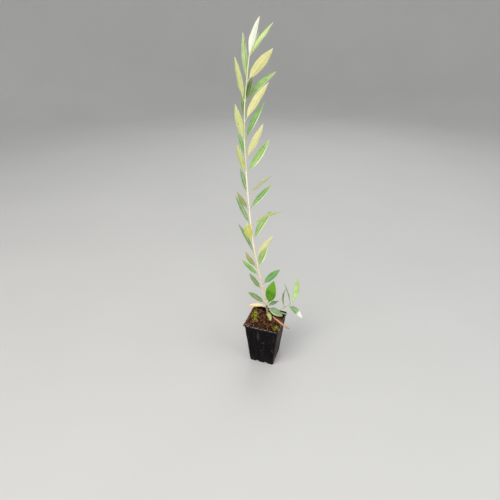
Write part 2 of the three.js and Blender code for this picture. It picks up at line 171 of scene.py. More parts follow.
class Draft:
    """The points, faces and marks of one piece, collected before its mesh is made."""

    def __init__(self) -> None:
        """Starts an empty draft."""
        self.points: list[Array] = []
        self.marks: list[Array] = []
        self.faces: list[tuple[int, ...]] = []
        self.coats: list[int] = []
        self.count = 0

    def add(self, points: Array, faces: Iterable[Sequence[int]],
            coats: int | Sequence[int] = 0, marks: Array | None = None) -> None:
        """Adds points and the faces between them.

        Args:
            points: One row of three numbers for each point.
            faces: The faces as indices into these points.
            coats: One material index for all the faces, or one for each.
            marks: One row of the marks for each point.
        """
        rows = [tuple(index + self.count for index in face) for face in faces]
        self.faces += rows
        self.coats += [coats] * len(rows) if isinstance(coats, int) else list(coats)
        self.points.append(points)
        self.marks.append(np.zeros((len(points), len(Mark))) if marks is None else marks)
        self.count += len(points)

    def loft(self, rings: Array, coats: int | Sequence[int] = 0,
             marks: Array | None = None) -> None:
        """Adds a closed body through rings of points, with its faces turned outwards.

        Args:
            rings: The points by ring, by place round the ring, by coordinate.
            coats: One material index, or one for each place round the ring.
            marks: The marks by ring, by place and by mark.
        """
        count, sides = rings.shape[:2]
        points = rings.reshape(-1, 3)
        quads = []
        for ring in range(count - 1):
            for side in range(sides):
                low, high = ring * sides, (ring + 1) * sides
                after = (side + 1) % sides
                quads.append((low + side, low + after, high + after, high + side))
        ends = [tuple(range(sides))[::-1], tuple(range((count - 1) * sides, count * sides))]
        around = [coats] * sides if isinstance(coats, int) else list(coats)
        painted = around * (count - 1) + [around[0]] * 2
        corners = points[np.array(quads)]
        first = corners[:, 0] - points.mean(axis=0)
        normals = np.cross(corners[:, 1] - corners[:, 0], corners[:, 2] - corners[:, 0])
        faces = quads + ends
        if float((first * normals).sum()) < 0:
            faces = [tuple(reversed(face)) for face in faces]
        self.add(points, faces, painted, None if marks is None else marks.reshape(-1, len(Mark)))

    def mesh(self, name: str, scale: float = MM) -> Mesh:
        """Makes a bare mesh of what was collected.

        Args:
            name: Its name.
            scale: Its units for each millimetre.

        Returns:
            The mesh.
        """
        mesh = bpy.data.meshes.new(name)
        mesh.from_pydata((np.concatenate(self.points) * scale).tolist(), [], self.faces)
        return mesh

    def piece(self, name: str, finishes: Sequence[Finish], slot: str,
              replaces: Sequence[str] = (), flat: bool = False) -> None:
        """Makes the piece from what was collected.

        Args:
            name: The piece's name.
            finishes: Its finishes, in the order of the faces' material indices.
            slot: The record's material slot for the piece; it is not used.
            replaces: The solids that it stands for.
            flat: Whether its faces are shaded flat.
        """
        mesh = self.mesh(name)
        mesh.polygons.foreach_set("material_index", self.coats)
        mesh.polygons.foreach_set("use_smooth", [not flat] * len(mesh.polygons))
        marks = np.concatenate(self.marks)
        for mark in Mark:
            layer = mesh.attributes.new(mark.label, "FLOAT", "POINT")
            layer.data.foreach_set("value", marks[:, mark].astype(np.float32))
        mesh.update()
        dress(mesh, finishes, replaces)


def placed(name: str, data: ID) -> Object:
    """Puts a new object in the scene.

    Args:
        name: Its name.
        data: Its mesh, light or camera.

    Returns:
        The object.
    """
    made = bpy.data.objects.new(name, data)
    bpy.context.scene.collection.objects.link(made)
    return made


def dress(mesh: Mesh, finishes: Sequence[Finish], replaces: Sequence[str] = ()) -> None:
    """Makes a mesh a piece of the plant: gives it its finishes and its place in the frame.

    Args:
        mesh: The piece's mesh, whose name it takes.
        finishes: Its finishes.
        replaces: The solids that it stands for.
    """
    for finish in finishes:
        mesh.materials.append(finish.material())
    made = placed(mesh.name, mesh)
    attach(made, BODY)
    if replaces:
        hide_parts(*replaces)
    log.info("%s: %d triangles", made.name, sum(len(face.vertices) - 2 for face in mesh.polygons))


def tube(centres: Array, radii: Sequence[float], sides: int,
         across: Array | None = None) -> tuple[Array, Array]:
    """Returns the rings of a round tube, and their marks.

    Args:
        centres: The points of its centre line.
        radii: Its radius at each of them.
        sides: How many points a ring has.
        across: A direction that the first point of each ring lies near.

    Returns:
        The points and the marks, by ring and place.
    """
    turns = round_turns(sides)
    rings = []
    for centre, way, radius in zip(centres, np.gradient(centres, axis=0), radii):
        forward = unit(way)
        side = UP if across is None else across
        if abs(forward @ side) > 0.95:
            side = TO_RIGHT
        first = unit(side - forward * (side @ forward))
        second = np.cross(forward, first)
        rings.append([centre + radius * (first * cos(turn) + second * sin(turn)) for turn in turns])
    marks = np.zeros((len(rings), sides, len(Mark)))
    marks[:, :, Mark.ALONG] = np.linspace(0, 1, len(rings))[:, None]
    marks[:, :, Mark.SHADE] = 0.5
    marks[:, :, Mark.SIDE] = np.outer(radii, np.cos(turns))
    marks[:, :, Mark.FACE] = np.outer(radii, np.sin(turns))
    return np.array(rings), marks


# Finishes


class Board:
    """A tree of shader nodes that is laid out in code."""

    def __init__(self, tree: NodeTree) -> None:
        """Keeps the tree to add nodes to."""
        self.tree = tree

    def node(self, kind: str, inputs: dict | None = None, **settings: object) -> Node:
        """Adds a node.

        Args:
            kind: The node's type without its ShaderNode prefix.
            inputs: Values or sockets for its inputs, by name or index.
            **settings: Properties of the node itself.

        Returns:
            The node.
        """
        made = self.tree.nodes.new(f"ShaderNode{kind}")
        for name, value in settings.items():
            setattr(made, name, value)
        for name, value in (inputs or {}).items():
            if isinstance(value, NodeSocket):
                self.tree.links.new(value, made.inputs[name])
            else:
                made.inputs[name].default_value = value
        return made

    def mix(self, factor: Feed, first: Feed, second: Feed) -> Socket:
        """Returns the colour between two, each from a socket or as seen on a screen."""
        first, second = (paint(*one) if isinstance(one, tuple) else one for one in (first, second))
        return self.node("Mix", {0: factor, 6: first, 7: second}, data_type="RGBA").outputs[2]

    def sum(self, operation: str, first: Feed, second: Feed = 0.0) -> Socket:
        """Returns the result of one step of arithmetic."""
        return self.node("Math", {0: first, 1: second}, operation=operation).outputs[0]

    def plus(self, first: Feed, second: Feed) -> Socket:
        """Returns one value and another added up."""
        return self.sum("ADD", first, second)

    def times(self, first: Feed, second: Feed) -> Socket:
        """Returns one value times another."""
        return self.sum("MULTIPLY", first, second)

    def spread(self, value: Feed, low: float, high: float, least: float = 0.0,
               most: float = 1.0) -> Socket:
        """Returns the value moved from low and high to least and most, and kept within them."""
        inputs = {0: value, 1: low, 2: high, 3: least, 4: most}
        return self.node("MapRange", inputs, interpolation_type="SMOOTHSTEP").outputs[0]

    def mark(self, mark: Mark) -> Socket:
        """Returns one of the marks that the draft leaves on its points."""
        return self.node("Attribute", attribute_name=mark.label).outputs["Fac"]

    def place(self) -> Socket:
        """Returns the place on the object in metres."""
        return self.node("TexCoord").outputs["Object"]

    def stretched(self, place: Feed, across: float, up: float) -> Socket:
        """Returns a place with its distances across and up scaled."""
        return self.node("Mapping", {0: place, 3: (across, across, up)}).outputs[0]

    def clouds(self, where: Feed, scale: Feed, detail: float = 3.0) -> Socket:
        """Returns smooth chance values from 0 to 1."""
        inputs = {"Vector": where, "Scale": scale, "Detail": detail}
        return self.node("TexNoise", inputs).outputs[0]

    def cells(self, where: Feed, scale: float, **settings: object) -> Socket:
        """Returns the distance from the middles of chance cells, or from what is set."""
        inputs = {"Vector": where, "Scale": scale}
        return self.node("TexVoronoi", inputs, **settings).outputs["Distance"]

    def scaled(self, colour: Feed, share: Feed) -> Socket:
        """Returns the colour made lighter or darker by a share."""
        return self.node("VectorMath", {0: colour, "Scale": share}, operation="SCALE").outputs[0]

    def tinted(self, colour: Feed, tint: Colour) -> Socket:
        """Returns the colour times a tint."""
        return self.node("VectorMath", {0: colour, 1: tint}, operation="MULTIPLY").outputs[0]

    def effect(self, tree: NodeTree, **values: Feed) -> NodeOutputs:
        """Places an effect with its own values.

        Args:
            tree: The effect's node group.
            **values: What its inputs are set to.

        Returns:
            Its outputs, by name.
        """
        made = self.node("Group", node_tree=tree)
        for name, value in values.items():
            made.inputs[name].default_value = value
        return made.outputs


Sockets = dict[str, Socket]
Layout = tuple[Socket, Socket, Socket]


def group(name: str, inputs: dict[str, float | tuple], outputs: dict[str, str],
          build: Callable[[Board, Sockets], Sockets]) -> NodeTree:
    """Makes a node group once, and returns the one there is after that.

    Args:
        name: The group's name.
        inputs: The default value of each input: a number or a colour.
        outputs: The kind of each output: Float, Color or Vector.
        build: Lays out the nodes, from the input sockets to the output sockets.

    Returns:
        The group.
    """
    if name in bpy.data.node_groups:
        return bpy.data.node_groups[name]
    tree = bpy.data.node_groups.new(name, "ShaderNodeTree")
    for label, value in inputs.items():
        kind = "Color" if isinstance(value, tuple) else "Float"
        made = tree.interface.new_socket(label, in_out="INPUT", socket_type=f"NodeSocket{kind}")
        made.default_value = value
    for label, kind in outputs.items():
        tree.interface.new_socket(label, in_out="OUTPUT", socket_type=f"NodeSocket{kind}")
    enter = tree.nodes.new("NodeGroupInput")
    leave = tree.nodes.new("NodeGroupOutput")
    given = {label: enter.outputs[label] for label in inputs}
    for label, socket in build(Board(tree), given).items():
        tree.links.new(socket, leave.inputs[label])
    return tree


def mottle_group() -> NodeTree:
    """Returns the effect of two colours that run into each other in soft patches."""

    def build(board: Board, given: Sockets) -> Sockets:
        """Lays the effect out."""
        place = board.place()
        large = board.clouds(place, given["Scale"], 4.0)
        fine = board.clouds(place, board.times(given["Scale"], 7.0), 5.0)
        both = board.plus(board.times(large, 0.7), board.times(fine, 0.3))
        colour = board.mix(board.spread(both, 0.36, 0.64), given["First"], given["Second"])
        return {"Colour": colour, "Fine": fine}

    grey = (0.5, 0.5, 0.5, 1.0)
    return group("Mottle", {"First": grey, "Second": grey, "Scale": 100.0},
                 {"Colour": "Color", "Fine": "Float"}, build)


def dust_group() -> NodeTree:
    """Returns a mask of dust that gathers in patches, on level faces and low down; Side raises the
    same mask on faces turned to +X, which only makes that side paler.
    """

    def build(board: Board, given: Sockets) -> Sockets:
        """Lays the effect out."""
        place = board.place()
        patches = board.clouds(place, 45.0, 6.0)
        specks = board.clouds(place, 900.0)
        normal = board.node("NewGeometry").outputs["Normal"]
        normal = board.node("SeparateXYZ", {0: normal}).outputs
        up = board.spread(normal[2], 0.2, 0.9)
        # Faces turned to +X get more of the mask, so that side of the pot is paler.
        east = board.spread(normal[0], 0.5, 1.0)
        low = board.spread(board.node("SeparateXYZ", {0: place}).outputs[2], 0.03, 0.0)
        lean = board.plus(board.times(up, given["Level"]), board.times(east, given["Side"]))
        amount = board.plus(board.plus(lean, board.times(low, 0.06)), given["Amount"])
        cloud = board.spread(patches, 0.35, 0.75)
        grain = board.spread(specks, 0.3, 0.75, 0.35, 1.0)
        mask = board.times(board.times(amount, grain), board.plus(cloud, 0.25))
        return {"Mask": board.sum("MINIMUM", mask, 1.0)}

    return group("Dust", {"Amount": 0.2, "Level": 0.6, "Side": 0.3}, {"Mask": "Float"}, build)


def grain_group() -> NodeTree:
    """Returns the effect of fibres that run the long way of a twig, a stem or a leaf."""

    def build(board: Board, given: Sockets) -> Sockets:
        """Lays the effect out."""
        side = board.times(board.mark(Mark.SIDE), given["Fineness"])
        face = board.times(board.mark(Mark.FACE), given["Fineness"])
        along = board.times(board.mark(Mark.ALONG), given["Runs"])
        along = board.plus(along, board.times(board.mark(Mark.SHADE), 29.0))
        where = board.node("CombineXYZ", {0: side, 1: face, 2: along}).outputs[0]
        streaks = board.clouds(where, 1.0, 4.0)
        cracks = board.clouds(where, 3.1, 5.0)
        height = board.plus(streaks, board.times(cracks, 0.5))
        return {"Mask": board.spread(streaks, 0.4, 0.62), "Height": height}

    return group("Grain", {"Fineness": 1.5, "Runs": 4.0}, {"Mask": "Float", "Height": "Float"},
                 build)


def blade_group() -> NodeTree:
    """Returns the effect of a leaf's midrib, margin, veins, specks and tip, and of a painted
    highlight on the outer part of one half, where the fold would catch the light.
    """

    def build(board: Board, given: Sockets) -> Sockets:
        """Lays the effect out."""
        along, side, rim = (board.mark(mark) for mark in (Mark.ALONG, Mark.SIDE, Mark.RIM))
        place = board.place()
        wander = board.clouds(place, 160.0, 4.0)
        bow = board.times(board.sum("SINE", board.times(along, pi)), 3.2)
        reach = board.plus(along, board.times(wander, 0.14))
        start = board.plus(given["Start"], 0.07)
        share = board.sum("DIVIDE", board.sum("SUBTRACT", reach, start), 0.16)
        tip = board.times(board.spread(share, 0.0, 1.0), given["Tip"])
        margin = board.times(rim, board.spread(wander, 0.3, 0.6, 0.5, 1.0))
        lines = board.sum("SUBTRACT", board.times(along, 60.0),
                          board.times(board.sum("ABSOLUTE", side), 1.2))
        lines = board.plus(board.times(lines, 1.7), board.times(wander, 5.0))
        veins = board.spread(board.sum("SINE", lines), 0.6, 1.0)
        cells = board.cells(place, 700.0, feature="DISTANCE_TO_EDGE")
        spots = board.cells(place, 75.0)
        specks = board.times(board.spread(spots, 0.13, 0.07), given["Specks"])
        height = board.plus(board.times(board.spread(cells, 0.0, 0.22), 0.25),
                            board.times(wander, 0.6))
        height = board.sum("SUBTRACT", height, board.times(veins, 0.2))
        return {"Midrib": board.mark(Mark.RIB), "Margin": margin, "Tip": tip, "Veins": veins,
                # Painted highlight: the part of the blade on one side of a line bowed beside the
                # midrib.
                "Fold": board.spread(board.sum("SUBTRACT", side, bow), 0.0, 0.7),
                "Specks": specks, "Height": height}

    names = ("Midrib", "Margin", "Tip", "Veins", "Fold", "Specks", "Height")
    return group("Blade marks", {"Tip": 0.0, "Start": 0.86, "Specks": 0.0},
                 dict.fromkeys(names, "Float"), build)


@dataclass(frozen=True)
class Finish:
    """What every finish shares.

    Attributes:
        name: The material's name.
        roughness, bump: Its plain roughness, and the depth of its fine relief in millimetres.
    """

    name: str
    roughness: float = 0.6
    bump: float = 0.1

    def material(self) -> Material:
        """Makes the material at the first call.

        Returns:
            The material.
        """
        if self.name in bpy.data.materials:
            return bpy.data.materials[self.name]
        made = bpy.data.materials.new(self.name)
        made.use_nodes = True
        board = Board(made.node_tree)
        shader = made.node_tree.nodes["Principled BSDF"]
        colour, rough, height = self.lay_out(board, shader)
        made.node_tree.links.new(colour, shader.inputs["Base Color"])
        made.node_tree.links.new(rough, shader.inputs["Roughness"])
        bump = board.node("Bump", {"Strength": 1.0, "Distance": self.bump * MM, "Height": height})
        made.node_tree.links.new(bump.outputs[0], shader.inputs["Normal"])
        return made

    def lay_out(self, board: Board, shader: Node) -> Layout:
        """Lays out the nodes of one finish.

        Args:
            board: What they are added to.
            shader: The material's shader, for the values that are the same all over.

        Returns:
            The sockets of colour, roughness and height.
        """
        raise NotImplementedError

    def rough(self, board: Board, value: Feed, low: float, high: float, vary: float) -> Socket:
        """Returns the roughness, which varies to both sides as a value goes from low to high."""
        most = min(self.roughness + vary, 1.0)
        return board.spread(value, low, high, self.roughness - vary, most)


@dataclass(frozen=True)
class MottledFinish(Finish):
    """A finish of two colours in soft patches.

    Attributes:
        first, second: Its two colours.
        scale: How small the patches are.
    """

    first: Colour = (128, 128, 128)
    second: Colour = (128, 128, 128)
    scale: float = 200.0

    def lay_out(self, board: Board, shader: Node) -> Layout:
        """Lays out the patches."""
        patch = board.effect(mottle_group(), First=paint(*self.first), Second=paint(*self.second),
                             Scale=self.scale)
        shade = board.spread(board.mark(Mark.SHADE), 0.0, 1.0, 0.6, 1.35)
        rough = self.rough(board, patch["Fine"], 0.3, 0.7, 0.08)
        shader.inputs["Specular IOR Level"].default_value = 0.3
        return board.scaled(patch["Colour"], shade), rough, patch["Fine"]


@dataclass(frozen=True)
class PlasticFinish(Finish):
    """Thin black pot plastic, dusty, with water marks and scuffs, and paler on the faces turned to
    +X.

    Attributes:
        black, dust, scuff: The colours of clean plastic, of dried mud and of the paler faces turned
            to +X, and of rubbed places.
    """

    black: Colour = (3, 3, 5)
    dust: Colour = (122, 104, 108)
    scuff: Colour = (150, 112, 100)

    def lay_out(self, board: Board, shader: Node) -> Layout:
        """Lays out the dust, marks and scuffs."""
        place = board.place()
        # Side makes the faces turned to +X paler, with the same patches as the dust.
        dust = board.effect(dust_group(), Amount=0.02, Level=0.25, Side=0.95)
        runs = board.stretched(place, 1.0, 0.06)
        streaks = board.spread(board.clouds(runs, 260.0), 0.54, 0.78)
        mask = board.sum("MAXIMUM", dust["Mask"], board.times(streaks, 0.22))
        scuffs = board.clouds(board.stretched(place, 0.8, 1.5), 150.0, 7.0)
        scuffs = board.spread(scuffs, 0.66, 0.74)
        rubbed = board.mark(Mark.RIB)
        worn = board.times(rubbed, board.spread(board.clouds(place, 420.0, 5.0), 0.5, 0.6))
        colour = board.mix(mask, self.black, self.dust)
        colour = board.mix(board.times(scuffs, 0.5), colour, self.scuff)
        colour = board.mix(board.times(worn, 0.7), colour, self.dust)
        rough = board.sum("MINIMUM", board.plus(board.times(mask, 0.5), self.roughness), 0.95)
        height = board.plus(board.clouds(place, 1300.0, 2.0), board.times(mask, 2.0))
        shader.inputs["Specular IOR Level"].default_value = 0.08
        return colour, rough, height


@dataclass(frozen=True)
class BarkFinish(Finish):
    """Smooth young bark: pinkish brown at the foot, tan above it, then cream, then lime.

    Attributes:
        foot, low, middle, high: The colours from the soil up to the stem's tip.
        node, cork, scar: The colours of a node, of the cork spots and of the scar low on the stem.
    """

    foot: Colour = (138, 102, 80)
    low: Colour = (240, 218, 176)
    middle: Colour = (250, 240, 208)
    high: Colour = (240, 245, 184)
    node: Colour = (240, 218, 178)
    cork: Colour = (150, 116, 84)
    scar: Colour = (120, 82, 54)

    def lay_out(self, board: Board, shader: Node) -> Layout:
        """Lays out the colours up the stem, its nodes and spots."""
        place = board.place()
        along = board.mark(Mark.ALONG)
        grain = board.effect(grain_group(), Fineness=1.3, Runs=65.0)
        blur = board.spread(board.clouds(place, 60.0), 0.3, 0.7, -0.04, 0.04)
        wander = board.plus(along, blur)
        colour = board.mix(board.spread(wander, 0.0, 0.09), self.foot, self.low)
        colour = board.mix(board.spread(wander, 0.12, 0.4), colour, self.middle)
        colour = board.mix(board.spread(wander, 0.55, 0.9), colour, self.high)
        for mark, share, over in ((Mark.RIB, 0.45, self.node), (Mark.RIM, 0.9, self.scar)):
            colour = board.mix(board.times(board.mark(mark), share), colour, over)
        streak = board.times(grain["Mask"], board.spread(along, 0.6, 0.1, 0.15, 0.4))
        colour = board.mix(streak, colour, board.tinted(colour, (0.76, 0.66, 0.54)))
        spots = board.spread(board.cells(board.stretched(place, 1.0, 0.5), 520.0), 0.26, 0.16)
        cork = board.times(spots, board.spread(along, 0.75, 0.1, 0.15, 0.8))
        colour = board.mix(cork, colour, self.cork)
        rough = self.rough(board, grain["Mask"], 0.0, 1.0, 0.1)
        return colour, rough, board.plus(grain["Height"], cork)


@dataclass(frozen=True)
class DryFinish(Finish):
    """Dry wood or a dead leaf, with fibres and darker ends.

    Attributes:
        pale, dark, end: The colours of the fibres, between them, and at the tip and margins.
        runs: How many fibres follow each other along it.
    """

    pale: Colour = (252, 240, 200)
    dark: Colour = (234, 202, 150)
    end: Colour = (188, 132, 84)
    runs: float = 4.0

    def lay_out(self, board: Board, shader: Node) -> Layout:
        """Lays out the fibres and the darker ends."""
        grain = board.effect(grain_group(), Fineness=1.7, Runs=self.runs)
        blade = board.effect(blade_group(), Tip=0.8)
        colour = board.mix(grain["Mask"], self.pale, self.dark)
        ends = board.sum("MAXIMUM", blade["Tip"], board.times(blade["Margin"], 0.5))
        colour = board.mix(ends, colour, self.end)
        colour = board.mix(board.times(blade["Midrib"], 0.45), colour, self.dark)
        rough = self.rough(board, grain["Mask"], 0.0, 1.0, 0.1)
        height = board.plus(grain["Height"], blade["Height"])
        shader.inputs["Specular IOR Level"].default_value = 0.25
        return colour, rough, height


SPECK = (128, 96, 58)
IVORY = (248, 246, 206)
TAN = (160, 132, 82)


@dataclass(frozen=True)
class LeafFinish(Finish):
    """One face of an olive leaf.

    Attributes:
        body: The blade's colour.
        mottle: How far its patches are from it.
        rib, rim: How far the midrib and the margin are towards ivory.
        tip, tip_share: The colour that the tip goes to, and how far it has gone to it.
        tip_start: Where along the blade that colour starts.
        stripes, fine: How strong and how fine the darker stripes along the blade are.
        specks: How strong the small brown specks are.
        gloss: How strong the waxy gloss is.
        fold: How strong the painted highlight is, which takes the outer part of one half towards
            ivory as if that part caught the light.
    """

    body: Colour = (148, 185, 116)
    mottle: float = 0.09
    rib: float = 0.5
    rim: float = 0.3
    tip: Colour = TAN
    tip_share: float = 0.0
    tip_start: float = 0.86
    stripes: float = 0.15
    specks: float = 0.35
    gloss: float = 0.1
    fine: float = 1.1
    fold: float = 0.0

    def lay_out(self, board: Board, shader: Node) -> Layout:
        """Lays out the patches, stripes and marks of a blade."""
        patch = board.effect(mottle_group(), First=paint(*toned(self.body, self.mottle)),
                             Second=paint(*toned(self.body, self.mottle, IVORY)), Scale=110.0)
        blade = board.effect(blade_group(), Tip=self.tip_share, Start=self.tip_start,
                             Specks=self.specks)
        grain = board.effect(grain_group(), Fineness=self.fine, Runs=3.0)
        colour = patch["Colour"]
        stripe = board.times(grain["Mask"], self.stripes)
        colour = board.mix(stripe, colour, board.tinted(colour, (0.5, 0.62, 0.4)))
        colour = board.scaled(colour, board.spread(board.mark(Mark.SHADE), 0.0, 1.0, 0.93, 1.07))
        rib, rim = (toned(self.body, share, IVORY) for share in (self.rib, self.rim))
        # The painted highlight lightens the outer part of one half towards ivory.
        layers = (("Veins", 0.1, rib), ("Margin", 0.8, rim), ("Fold", self.fold, IVORY),
                  ("Midrib", 0.85, rib), ("Tip", 1.0, self.tip), ("Specks", 1.0, SPECK))
        for name, share, over in layers:
            colour = board.mix(board.times(blade[name], share), colour, over)
        rough = self.rough(board, patch["Fine"], 0.3, 0.7, 0.07)
        shader.inputs["Coat Weight"].default_value = self.gloss
        shader.inputs["Coat Roughness"].default_value = 0.3
        shader.inputs["Specular IOR Level"].default_value = 0.4
        return colour, rough, blade["Height"]


class Tone(Enum):
    """The kinds of leaf by colour.

    Each has the colour and the other values of its upper face, and then of its underside.
    """

    # fold sets the strength of the painted highlight on one half of the upper face.
    GREEN = (127, 180, 96), {"fold": 0.55}
    LIGHT = (150, 196, 104), {"fold": 0.55}
    STRIPED = (160, 202, 112), {"fold": 0.8, "stripes": 0.5, "fine": 0.8}
    LIME = (183, 225, 137), {}
    FRESH = (92, 155, 72), {}
    DULL = (126, 154, 94), {}, (178, 186, 122)
    GREYED = (116, 150, 98), {"gloss": 0.25, "fold": 0.3}
    BLUISH = (162, 190, 126), {"gloss": 0.2}
    SALLOW = (188, 200, 112), {}
    CREAM = (143, 190, 110), {}, (231, 228, 158)
    PALE = (200, 224, 141), {}, (255, 255, 238), {"specks": 0.0, "mottle": 0.01, "stripes": 0.0}
    VIVID = (90, 156, 10), {
        "stripes": 0.9, "fine": 0.3, "rib": 0.14, "rim": 0.1, "mottle": 0.02, "gloss": 0.0,
        "tip": (118, 178, 34), "tip_share": 0.7, "tip_start": 0.45}, (160, 190, 90)
    DEEP = (104, 138, 58), {}, (132, 152, 80)
    YELLOWED = (188, 192, 96), {}, (197, 197, 102), {"tip": (232, 234, 160), "tip_share": 0.8}
    OLIVE = (140, 170, 90), {}, (191, 200, 125), {"tip": (158, 154, 124), "tip_share": 0.6}
    BROWNED = (144, 166, 86), {"tip_share": 0.5}, (152, 164, 83), {"tip_share": 0.7}
    TANNED = (176, 168, 108), {"tip_share": 0.6}, (184, 185, 137), {"tip_share": 0.6}
    WHITE_TIPPED = (126, 164, 106), {"tip": (236, 240, 226), "tip_share": 1.0, "tip_start": 0.52}
    PINK_TIPPED = (118, 158, 94), {"tip": (208, 168, 142), "tip_share": 0.9, "tip_start": 0.66}

    def __init__(self, upper: Colour, over: dict, lower: Colour = (207, 213, 139),
                 under: dict | None = None) -> None:
        """Makes the finishes of the upper face and the underside.

        Args:
            upper: The colour of the upper face.
            over: Other values of the upper face.
            lower: The colour of the underside.
            under: Other values of the underside.
        """
        kind = f"leaf_{self.name.lower()}"
        above = {"roughness": 0.42, "bump": 0.15}
        below = {"roughness": 0.72, "bump": 0.12, "gloss": 0.0, "mottle": 0.035, "stripes": 0.04}
        self.faces = (LeafFinish(f"{kind}_upper", body=upper, **{**above, **over}),
                      LeafFinish(f"{kind}_under", body=lower, **{**below, **(under or {})}))


BARK = BarkFinish("olive_bark", roughness=0.7, bump=0.12)
SHOOT_BARK = BarkFinish("shoot_bark", roughness=0.65, bump=0.1, low=(220, 204, 150),
                        middle=(176, 196, 116), node=(206, 206, 150))
DEAD_LEAF_SKIN = DryFinish("dead_leaf_skin", roughness=0.8, bump=0.2)
DRY_TWIG_WOOD = DryFinish("dry_twig_wood", roughness=0.85, bump=0.25, pale=(246, 200, 168),
                          dark=(196, 138, 104), end=(120, 78, 58), runs=16.0)
POT_PLASTIC = PlasticFinish("pot_plastic_black", roughness=0.58, bump=0.05)
PEAT_DARK = MottledFinish("peat_dark", roughness=0.95, bump=0.35, first=(16, 8, 5),
                          second=(74, 44, 26), scale=240.0)
PEAT_RED = MottledFinish("peat_reddish", roughness=0.92, bump=0.3, first=(112, 62, 36),
                         second=(176, 116, 72), scale=300.0)
PEAT_FIBRE = MottledFinish("peat_fibre", roughness=0.85, bump=0.1, first=(118, 82, 56),
                           second=(168, 126, 94), scale=300.0)
BARK_CHIP = MottledFinish("bark_chip", roughness=0.85, bump=0.3, first=(172, 96, 50),
                          second=(206, 128, 76), scale=260.0)
GRIT = MottledFinish("pale_grit", roughness=0.8, bump=0.1, first=(190, 178, 154),
                     second=(228, 214, 188), scale=500.0)
MOSS = MottledFinish("moss_green", roughness=0.75, bump=0.05, first=(146, 182, 10),
                     second=(224, 238, 80), scale=300.0)


# Stem


